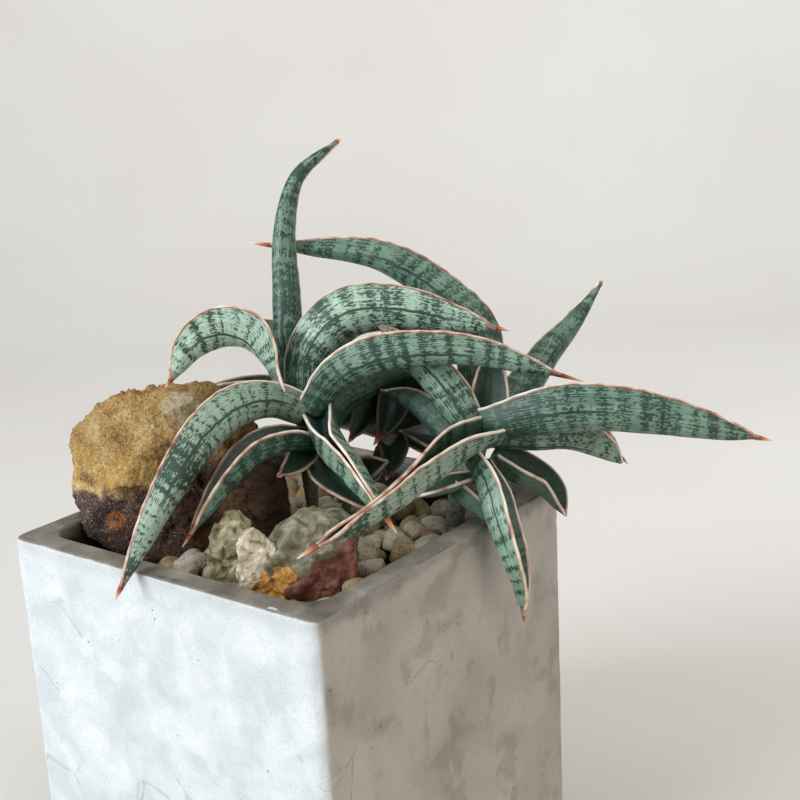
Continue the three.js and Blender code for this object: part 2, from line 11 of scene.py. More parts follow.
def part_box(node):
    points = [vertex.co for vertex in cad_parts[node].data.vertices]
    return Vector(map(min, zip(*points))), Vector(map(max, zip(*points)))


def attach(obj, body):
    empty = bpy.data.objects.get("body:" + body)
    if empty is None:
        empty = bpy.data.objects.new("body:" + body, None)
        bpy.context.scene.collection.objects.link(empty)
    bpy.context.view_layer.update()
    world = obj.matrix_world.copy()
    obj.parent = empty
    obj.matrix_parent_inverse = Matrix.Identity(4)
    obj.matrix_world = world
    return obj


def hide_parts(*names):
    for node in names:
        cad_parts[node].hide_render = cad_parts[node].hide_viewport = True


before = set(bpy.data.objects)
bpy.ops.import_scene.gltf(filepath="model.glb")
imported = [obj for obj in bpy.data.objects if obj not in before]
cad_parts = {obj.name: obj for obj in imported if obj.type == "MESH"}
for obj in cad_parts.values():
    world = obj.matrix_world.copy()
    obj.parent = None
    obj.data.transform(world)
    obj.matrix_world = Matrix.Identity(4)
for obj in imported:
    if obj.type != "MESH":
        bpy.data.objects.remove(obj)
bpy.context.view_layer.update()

MM = 0.001

# Noise vectors start from this seed, so that every run gives the same stones
NOISE_SEED = 9
noise.seed_set(NOISE_SEED)

# Pot sizes, from the frame
pot_low, pot_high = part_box("pot")
POT_HALF = (pot_high.x - pot_low.x) / 2 / MM
POT_HEIGHT = pot_high.z / MM
POT_WALL = 8
POT_FLOOR = 10
POT_CORNER = 4
POT_EDGE = 1.5
POCKET_CORNER = 8
POCKET_EDGE = 1.0
DRAIN_RADIUS = 4.5
DRAIN_PITCH = 40
POCKET_HALF = POT_HALF - POT_WALL
GAP = 0.3

# Pebble layer, as in the CAD model
GRAVEL_LEVEL = 108
GRAVEL_SLOPE = 0.06
GRAVEL_LAYER = 5

# Blade section, as in the CAD model, with a thinner blade and a round margin for the eye
BEND = 0.45
BASE_SHARE = 0.68
WIDEST_AT = 0.35
WIDTH_FALL = 0.8
THICK_FALL = 0.6
BLADE_EDGE = 0.9
LEAST_HALF = 0.7
LEAST_MIDDLE = 1.3
MARGIN_RADIUS = 0.46
BEND_ROOM = 1.15
SLIT = 0.08

# Fineness: mm between rings, sides of a stem, points along the soil, and how the pebbles are pushed apart
RING_PITCH = 0.8
SPINE_PITCH = 0.5
STEM_PITCH = 0.5
STEM_SIDES = 32
SOIL_STEPS = 130
PACKING_ROUNDS = 260
PACKING_PUSH = 0.28

# Fine form of the skin: its grooves (deep, turns per mm), how far it sways and its margin wavers
GROOVE_DEPTH = 0.035
GROOVE_TURNS = 4.2
SWAY = 0.1
WAVER = 0.07
SKIN_RIM = 0.42

# Each blade draws its own bands, and its pattern is moved along by this many mm
BLADE_SEED = 900
PATTERN_SHIFT = 37.0


def smooth(low, high, value):
    share = np.clip((value - low) / (high - low), 0, 1)
    return share * share * (3 - 2 * share)


def unit(vectors):
    return vectors / np.linalg.norm(vectors, axis=-1, keepdims=True)


def mesh_object(name, points, faces, node_names, attributes=None):
    """A smooth piece from points in millimetres that stands for CAD nodes, with its point attributes."""
    mesh = bpy.data.meshes.new(name)
    mesh.from_pydata((np.reshape(points, (-1, 3)) * MM).tolist(), [], faces)
    mesh.update()
    mesh.shade_smooth()
    for label, values in (attributes or {}).items():
        values = np.asarray(values, dtype=np.float32)
        kind = "FLOAT" if values.ndim == 1 else "FLOAT_VECTOR"
        layer = mesh.attributes.new(label, kind, "POINT")
        layer.data.foreach_set("value" if values.ndim == 1 else "vector", values.ravel())
    piece = bpy.data.objects.new(name, mesh)
    bpy.context.scene.collection.objects.link(piece)
    if node_names:
        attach(piece, "root")
        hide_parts(*node_names)
    return piece


def tube_faces(rows, around):
    """Faces of a closed tube of rings, capped at both ends."""
    faces = []
    for i in range(rows - 1):
        for k in range(around):
            a = i * around + k
            b = i * around + (k + 1) % around
            faces.append((a, b, b + around, a + around))
    faces.append(tuple(reversed(range(around))))
    faces.append(tuple(range((rows - 1) * around, rows * around)))
    return faces


# Camera: where the photograph was taken from, by the pot's edges, its rim and the leaves
CAMERA_PLACE = (275.4, -300.5, 268.1)
CAMERA_HEADING = 37.6
CAMERA_DOWN = 15.8
CAMERA_ROLL = -3.0
LENS = 63
SENSOR = 36


def make_camera():
    level = Matrix.Rotation(math.radians(CAMERA_HEADING), 3, "Z")
    tipped = level @ Matrix.Rotation(math.radians(90 - CAMERA_DOWN), 3, "X")
    turned = tipped @ Matrix.Rotation(math.radians(CAMERA_ROLL), 3, "Z")
    data = bpy.data.cameras.new("camera")
    data.lens = LENS
    data.sensor_width = SENSOR
    data.clip_start = 0.01
    data.clip_end = 20
    camera = bpy.data.objects.new("camera", data)
    bpy.context.scene.collection.objects.link(camera)
    camera.matrix_world = turned.to_4x4()
    camera.location = Vector(CAMERA_PLACE) * MM
    bpy.context.scene.camera = camera


# Materials


def linear(hex_colour):
    """An sRGB hex colour as linear red, green, blue and 1."""
    channels = [int(hex_colour[i : i + 2], 16) / 255 for i in (1, 3, 5)]
    straight = [c / 12.92 if c <= 0.04045 else ((c + 0.055) / 1.055) ** 2.4 for c in channels]
    return (*straight, 1.0)


# What a kind of node is usually given here: its settings, the inputs that values go to, and its output
USUAL = {
    "Mix": ({"data_type": "RGBA"}, (0, 6, 7), 2),
    "MapRange": ({"interpolation_type": "SMOOTHSTEP"}, None, 0),
}


def put(tree, kind, *values, stops=None, out=None, **settings):
    """Adds a node and gives its output. A kind in capitals is an operation of a Math node. A value or a
    link goes to each input in turn, or by name where a dictionary holds them. Stops fill a colour ramp."""
    if kind.isupper():
        settings["operation"] = kind
        kind = "Math"
    usual, places, output = USUAL.get(kind, ({}, None, 0))
    made = tree.nodes.new("ShaderNode" + kind)
    for name, value in {**usual, **settings}.items():
        setattr(made, name, value)
    for _ in (stops or [])[2:]:
        made.color_ramp.elements.new(0.5)
    for element, (place, colour) in zip(made.color_ramp.elements if stops else [], stops or []):
        element.position = place
        element.color = linear(colour)
    named = values[0] if values and isinstance(values[0], dict) else dict(zip(places or range(9), values))
    for key, value in named.items():
        if isinstance(value, bpy.types.NodeSocket):
            tree.links.new(value, made.inputs[key])
        elif value is not None:
            made.inputs[key].default_value = value
    return made.outputs[output if out is None else out]


def new_finish(name, **fixed):
    """A material, the function that adds a node to it, and a function that wires its shader."""
    material = bpy.data.materials.new(name)
    material.use_nodes = True
    tree = material.node_tree
    tree.nodes.clear()
    shader = tree.nodes.new("ShaderNodeBsdfPrincipled")
    for label, value in fixed.items():
        shader.inputs[label.replace("_", " ")].default_value = value
    surface = tree.nodes.new("ShaderNodeOutputMaterial")
    tree.links.new(shader.outputs[0], surface.inputs["Surface"])

    def wire(**sockets):
        for label, socket in sockets.items():
            tree.links.new(socket, shader.inputs[label.replace("_", " ")])

    return material, functools.partial(put, tree), wire


def in_mm(put):
    """Place on the piece, in millimetres."""
    return put("VectorMath", {0: put("TexCoord", out="Object"), 3: 1 / MM}, operation="SCALE")


def sansevieria_blade():
    """Living sansevieria skin: smooth and waxy, pale bloom over grey-green, dark bands made of short rows
    of cells along the blade, a dark line on the keel, and a horny margin that dries peach to cream."""
    material, put, wire = new_finish("sansevieria_waxy_skin", IOR=1.45)
    place = put("Attribute", attribute_name="blade_place", out="Vector")
    marks = put("Attribute", attribute_name="blade_marks", out="Vector")
    edge = put("Attribute", attribute_name="blade_edge", out="Vector")
    tone_and_shade = put("Attribute", attribute_name="blade_tone_and_shade", out="Vector")
    across, _, inner = put("SeparateXYZ", place).node.outputs
    band, streak, rib = put("SeparateXYZ", marks).node.outputs
    rim, tip, bleached = put("SeparateXYZ", edge).node.outputs
    pale, olive, painted_shade = put("SeparateXYZ", tone_and_shade).node.outputs

    def cells(across_mm, along_mm, detail, shift):
        """Cloud of cells of this size across and along the blade."""
        sized = put("VectorMath", place, (1 / across_mm, 1 / along_mm, 3), operation="MULTIPLY")
        moved = put("VectorMath", sized, (shift, shift, shift), operation="ADD")
        return put("TexNoise", {"Vector": moved, "Scale": 1.0, "Detail": detail})

    # Dark cells in rows 0.36 mm wide, drawn a little coarser than life so that they show, blotches of
    # 1 mm, and hairlines between the veins
    rows = cells(0.36, 1.2, 2.0, 0.0)
    blotches = cells(0.95, 1.3, 3.0, 17.0)
    hair = cells(0.38, 9.0, 1.0, 5.0)
    cloud = cells(6.0, 11.0, 3.0, 3.0)
    vein = cells(0.6, 25.0, 1.0, 12.0)
    weave = -0.08
    for part, weight in ((rows, 0.45), (blotches, 0.35), (hair, 0.2), (cloud, 0.16), (band, 0.18)):
        weave = put("MULTIPLY_ADD", part, weight, weave)
    lines = put("MULTIPLY", put("SUBTRACT", hair, 0.36), put("MULTIPLY", streak, 0.62))
    weave = put("ADD", weave, lines)
    dark = put("MapRange", weave, 0.59, 0.65)
    halo = put("MapRange", weave, 0.5, 0.6)
    # Keel line, 0.4 mm wide
    wander = put("MULTIPLY", put("SUBTRACT", cells(50.0, 5.0, 1.0, 9.0), 0.5), 0.9)
    off_keel = put("ABSOLUTE", put("ADD", across, wander))
    keel = put("MULTIPLY", put("MapRange", off_keel, 0.2, 0.38, 1.0, 0.0), rib)
    dark = put("MAXIMUM", dark, keel)
    # Pale ground: cloudy along the blade, with faint veins
    level = put("ADD", pale, put("MULTIPLY", put("SUBTRACT", cloud, 0.5), 0.6))
    level = put("ADD", level, put("MULTIPLY", put("SUBTRACT", vein, 0.5), 0.35))
    ground = put("ValToRGB", level, stops=[
        (0.0, "#234236"), (0.3, "#48695A"), (0.62, "#7C9B87"), (1.0, "#B6D2BD")])
    ground = put("Mix", put("MULTIPLY", olive, 0.7), ground, linear("#8D9180"))
    ground = put("Mix", put("MULTIPLY", halo, 0.45), ground, linear("#56705C"))
    shade = put("ValToRGB", cloud, stops=[(0.35, "#152B24"), (0.7, "#2B4C40")])
    outer_skin = put("Mix", put("MULTIPLY", dark, 0.92), ground, shade)
    # Channel side: deep green, and darkened further as painted shade inside the channel, its bands only just
    # seen
    deep = put("ValToRGB", cloud, stops=[(0.3, "#10261F"), (0.75, "#254A39")])
    channel = put("Mix", put("MapRange", dark, 0.0, 1.0, 0.2, 0.0), deep, ground)
    skin = put("Mix", inner, outer_skin, channel)
    # Painted shade: leaves deep in the rosettes, in the shade of the middle, are darkened towards near-black
    # green
    skin = put("Mix", painted_shade, skin, linear("#0F1D17"))
    # Margin: a dried horny bead, cream on its crest, with a thin red-brown line at its foot
    dried = put("ADD", cells(50.0, 5.0, 2.0, 40.0), put("MULTIPLY", bleached, 0.3))
    crest = put("ValToRGB", dried, stops=[
        (0.3, "#7E523E"), (0.4, "#BE917A"), (0.52, "#DCBFA8"), (0.72, "#EFE6D8")])
    foot = put("ValToRGB", dried, stops=[(0.45, "#7A4430"), (0.8, "#B9A08A")])
    margin = put("Mix", put("MapRange", rim, 0.5, 0.72), crest, foot)
    # The margins of leaves deep in the rosettes are darkened by the same painted shade
    margin = put("Mix", put("MapRange", painted_shade, 0.1, 0.7, 0.0, 0.86), margin, linear("#262B22"))
    skin = put("Mix", put("MapRange", rim, 0.7, 0.84, 1.0, 0.0), skin, margin)
    # Spine: dark red at its foot, then orange, and a pale dry point
    spine = put("ValToRGB", tip, stops=[
        (0.12, "#7E3322"), (0.35, "#B9603D"), (0.62, "#DDA380"), (0.95, "#F1E3D2")])
    skin = put("Mix", put("MapRange", tip, 0.06, 0.16), skin, spine)
    relief = put("ADD", put("MULTIPLY", vein, 0.6), put("MULTIPLY", rows, 0.4))
    bump = put("Bump", {"Height": relief, "Strength": 0.5, "Distance": 0.12 * MM})
    wire(Base_Color=skin, Roughness=put("MapRange", cloud, 0.3, 0.7, 0.4, 0.55), Normal=bump)
    return material


# Blades


def spread_list(values, shares):
    """Vectors evenly spread along a blade, read at each share of its length, with soft corners."""
    values = np.array(values if len(values) > 1 else values * 2, float)
    places = shares * (len(values) - 1)
    low = np.minimum(places.astype(int), len(values) - 2)
    part = (places - low)[:, None]
    straight = values[low] * (1 - part) + values[low + 1] * part
    if len(values) == 2:
        return straight
    reach = max(2, len(shares) // 9)
    padded = np.concatenate([[straight[0]] * reach, straight, [straight[-1]] * reach])
    window = np.ones(2 * reach + 1) / (2 * reach + 1)
    return np.stack([np.convolve(padded[:, k], window, "valid") for k in range(3)], 1)


def spline(points, per_span=60):
    """Centripetal Catmull-Rom curve through the points, sampled finely."""
    points = np.array(points, float)
    first = 2 * points[0] - points[1]
    last = 2 * points[-1] - points[-2]
    knots = np.vstack([first, points, last])
    samples = []
    for k in range(len(points) - 1):
        p0, p1, p2, p3 = knots[k : k + 4]
        d0, d1, d2 = (np.linalg.norm(b - a) ** 0.5 for a, b in ((p0, p1), (p1, p2), (p2, p3)))
        t1 = ((p1 - p0) / d0 - (p2 - p0) / (d0 + d1) + (p2 - p1) / d1) * d1
        t2 = ((p2 - p1) / d1 - (p3 - p1) / (d1 + d2) + (p3 - p2) / d2) * d1
        w = (np.arange(per_span) / per_span)[:, None]
        cubic = 2 * p1 - 2 * p2 + t1 + t2
        square = -3 * p1 + 3 * p2 - 2 * t1 - t2
        samples.append(p1 + t1 * w + square * w**2 + cubic * w**3)
    return np.vstack([*samples, points[-1:]])


def even_route(points, pitch):
    """Centres and directions at an even pitch along the curve through the points, and its length."""
    fine = spline(points)
    travelled = np.concatenate([[0], np.cumsum(np.linalg.norm(np.diff(fine, axis=0), axis=1))])
    count = max(8, int(round(travelled[-1] / pitch)))
    stations = np.linspace(0, travelled[-1], count + 1)
    centres = np.stack([np.interp(stations, travelled, fine[:, k]) for k in range(3)], 1)
    directions = unit(np.gradient(centres, axis=0))
    return centres, directions, travelled[-1]


def fold_at(share, half, angle):
    """Distance across and up the folded blade, and the lean of its surface, at a share of its half width."""
    turned = np.minimum(share, BEND) / BEND
    radius = half * BEND / angle
    lean = angle * turned
    flat = np.maximum(share - BEND, 0) * half
    across = radius * np.sin(lean) + flat * np.cos(angle)
    up = radius * (1 - np.cos(lean)) + flat * np.sin(angle)
    return across, up, lean


OUTER_SHARES = np.linspace(-0.965, 0.965, 29)
INNER_SHARES = np.linspace(0.955, -0.955, 21)
BEAD_TURNS = np.radians([-75, -50, -25, 0, 25, 50, 75])
# Columns of a blade's array after its points: where each attribute starts, and two that the spine changes
BLADE_ATTRIBUTES = {"blade_place": 3, "blade_marks": 6, "blade_edge": 9, "blade_tone_and_shade": 12}
STATION = 4
TIP = 10


def band_profile(rng, stations, leaf):
    """How strongly each place along the blade is banded, for its two halves, from 0 to 1."""
    gap, width, strength = leaf["bands"]
    place = rng.uniform(0.3, 1.0) * gap
    profile = np.zeros((2, len(stations)))
    while place < stations[-1] + gap:
        half_width = width * rng.uniform(0.6, 1.2)
        force = strength * rng.uniform(0.6, 1.0)
        for side in range(2):
            centre = place + rng.uniform(-0.14, 0.14) * gap
            share = np.clip(1.3 - np.abs(stations - centre) / half_width, 0, 1)
            profile[side] = np.maximum(profile[side], force * share)
        place += gap * rng.uniform(0.6, 1.35)
    return profile


def make_blade(name, leaf, number):
    rng = random.Random(BLADE_SEED + number)
    centres, along, length = even_route(leaf["route"], RING_PITCH)
    t = np.linspace(0, 1, len(centres))
    facing = spread_list(leaf["open"], t)
    facing = unit(facing - (facing * along).sum(1, keepdims=True) * along)
    side = np.cross(facing, along)
    swell = BASE_SHARE + (1 - BASE_SHARE) * smooth(0, WIDEST_AT, t)
    fall = np.maximum(1 - t ** leaf["taper"], 0) ** WIDTH_FALL
    half = np.maximum(leaf["width"] / 2 * swell * fall, LEAST_HALF)
    middle = np.maximum(leaf["thick"] * fall**THICK_FALL, LEAST_MIDDLE)

    def skin_at(share):
        """Half the blade's thickness at a share of its half width."""
        return (BLADE_EDGE + (middle - BLADE_EDGE) * (1 - share**2)) / 2

    fold = np.interp(t, np.linspace(0, 1, len(leaf["fold"])), leaf["fold"])
    angle = np.minimum(np.radians(fold), half * BEND / (BEND_ROOM * skin_at(BEND)))
    rim_across, rim_up, _ = fold_at(1.0, half, angle)
    bead = np.minimum(MARGIN_RADIUS, 0.55 * rim_across)
    stations = t * length
    profile = band_profile(rng, stations, leaf)
    wave = [rng.uniform(0, 6.28) for _ in range(6)]
    # Keel line, dark blots, streaks and green near the base, and the margin bleached there
    rib_low, rib_high = leaf.get("rib", (0.1, 0.7))
    rib = smooth(rib_low - 0.06, rib_low + 0.06, t) * (1 - smooth(rib_high - 0.06, rib_high + 0.06, t))
    blot = np.zeros(len(t))
    for centre, spread, force in leaf.get("blots", []):
        blot = np.maximum(blot, force * np.exp(-(((t - centre) / spread) ** 2)))
    base = 1 - smooth(0.05, 0.4, t)
    pale = leaf["pale"] * (1 - 0.45 * (1 - smooth(0.0, 0.3, t)))
    bleached = 1 - smooth(0, 0.5, t) + leaf.get("margin", 0.0)
    # Painted shade that darkens a leaf in the shade deep in the rosettes; its outer side may have its own
    # amount
    painted_shade = leaf.get("painted_shade", 0.0)
    columns = []

    def add_column(share, sign, turn=None):
        """A line of points along the blade: on its outer or inner skin, or at a turn round a margin."""
        size = abs(share)
        hand = -1.0 if share < 0 else 1.0
        across, up, lean = fold_at(size, half, angle)
        if turn is None:
            groove = np.cos(share * half * GROOVE_TURNS) * GROOVE_DEPTH * (1 - size**4) if sign < 0 else 0.0
            sway = SWAY * np.sin(stations * 0.35 + wave[0] + 2 * share) * np.sin(stations * 0.11 + wave[1])
            out = skin_at(size) + (groove + sway) * np.minimum(half / 4, 1)
            x = across - sign * out * np.sin(lean)
            if sign > 0:
                x = np.maximum(x, SLIT if size > 0.01 else 0.0)
            z = up + sign * out * np.cos(lean)
            rim = (1 - size) * half + SKIN_RIM
        else:
            waver = WAVER * np.sin(stations * 0.7 + wave[2 + (hand > 0)]) * np.sin(stations * 0.23 + wave[4])
            radius = bead * (1 + 0.08 * np.sin(stations * 1.1 + wave[5]))
            reach = radius * math.cos(turn) + waver * np.minimum(half / 5, 1)
            x = across + reach * np.cos(lean) - radius * math.sin(turn) * np.sin(lean)
            z = up + reach * np.sin(lean) + radius * math.sin(turn) * np.cos(lean)
            rim = np.abs(turn) * radius
        ring = centres + side * (hand * x)[:, None] + facing * (z - rim_up / 2)[:, None]
        band = np.minimum(profile[1 if hand > 0 else 0] + blot, 1.2)
        chevron = np.interp(stations + 1.4 * size, stations, band)
        flank = leaf.get("streaks", 0.2) * (0.35 + 0.65 * size) * (1 - 0.6 * t) + 0.35 * base
        place = ((share - leaf.get("keel", 0.0)) * half, stations + number * PATTERN_SHIFT, float(sign > 0))
        marks = (chevron, flank, rib * (sign < 0))
        edge = (rim, 0.0, bleached)
        tone_and_shade = (pale, leaf.get("olive", 0.0), painted_shade if sign > 0 else leaf.get("back_painted_shade", painted_shade))
        columns.append(np.stack(np.broadcast_arrays(*ring.T, *place, *marks, *edge, *tone_and_shade), 1))

    for share in OUTER_SHARES:
        add_column(share, -1)
    for turn in BEAD_TURNS:
        add_column(1.0, -1, turn)
    for share in INNER_SHARES:
        add_column(share, 1)
    for turn in BEAD_TURNS[::-1]:
        add_column(-1.0, -1, turn)
    blade = np.stack(columns, 1)

    # The spine goes on from the last ring and narrows to its point
    spine = leaf["spine"]
    steps = max(5, int(spine / SPINE_PITCH))
    share = (np.arange(1, steps + 1) / steps)[:, None]
    scale = ((1 - share) ** 0.7 * 0.94 + 0.06)[:, :, None]
    moved = centres[-1] + along[-1] * spine * share[:, :, None]
    point = np.repeat(blade[-1:], steps, 0)
    point[:, :, :3] = (point[:, :, :3] - centres[-1]) * scale + moved
    point[:, :, STATION] += spine * share
    point[:, :, TIP] = share if spine > 1 else 0.0
    # The dark red of the spine's foot reaches back over the last of the blade
    if spine > 2:
        blade[-4:, :, TIP] = 0.11
    blade = np.concatenate([blade, point])
    attributes = {label: blade[:, :, first : first + 3] for label, first in BLADE_ATTRIBUTES.items()}
    faces = tube_faces(*blade.shape[:2])
    return mesh_object(name + "_blade", blade[:, :, :3], faces, [name], attributes)


# Each leaf: its route, where its channel faces, its width laid flat, how steeply its sides rise, its
# thickness, taper and spine, as in the CAD model. Then how pale it is, its bands (mm apart, mm wide,
# strength), from where to where its keel line runs (rib) and how far to one side of the fold (keel), dark
# blots (place, spread, strength) and how streaked it is. Leaves in the shade deep in the rosettes are
# darkened by painted shade, their outer side by its own amount where one is given. Leaves at the back,
# and small ones in the shade of the middle, share their looks.
REAR = dict(
    fold=[55, 60], thick=3.6, taper=2.6, spine=5,
    pale=0.65, bands=(4.6, 2.0, 0.95), rib=(0.1, 0.6), streaks=0.4)
IN_SHADE = dict(thick=2.4, bands=(4.5, 1.6, 0.4))

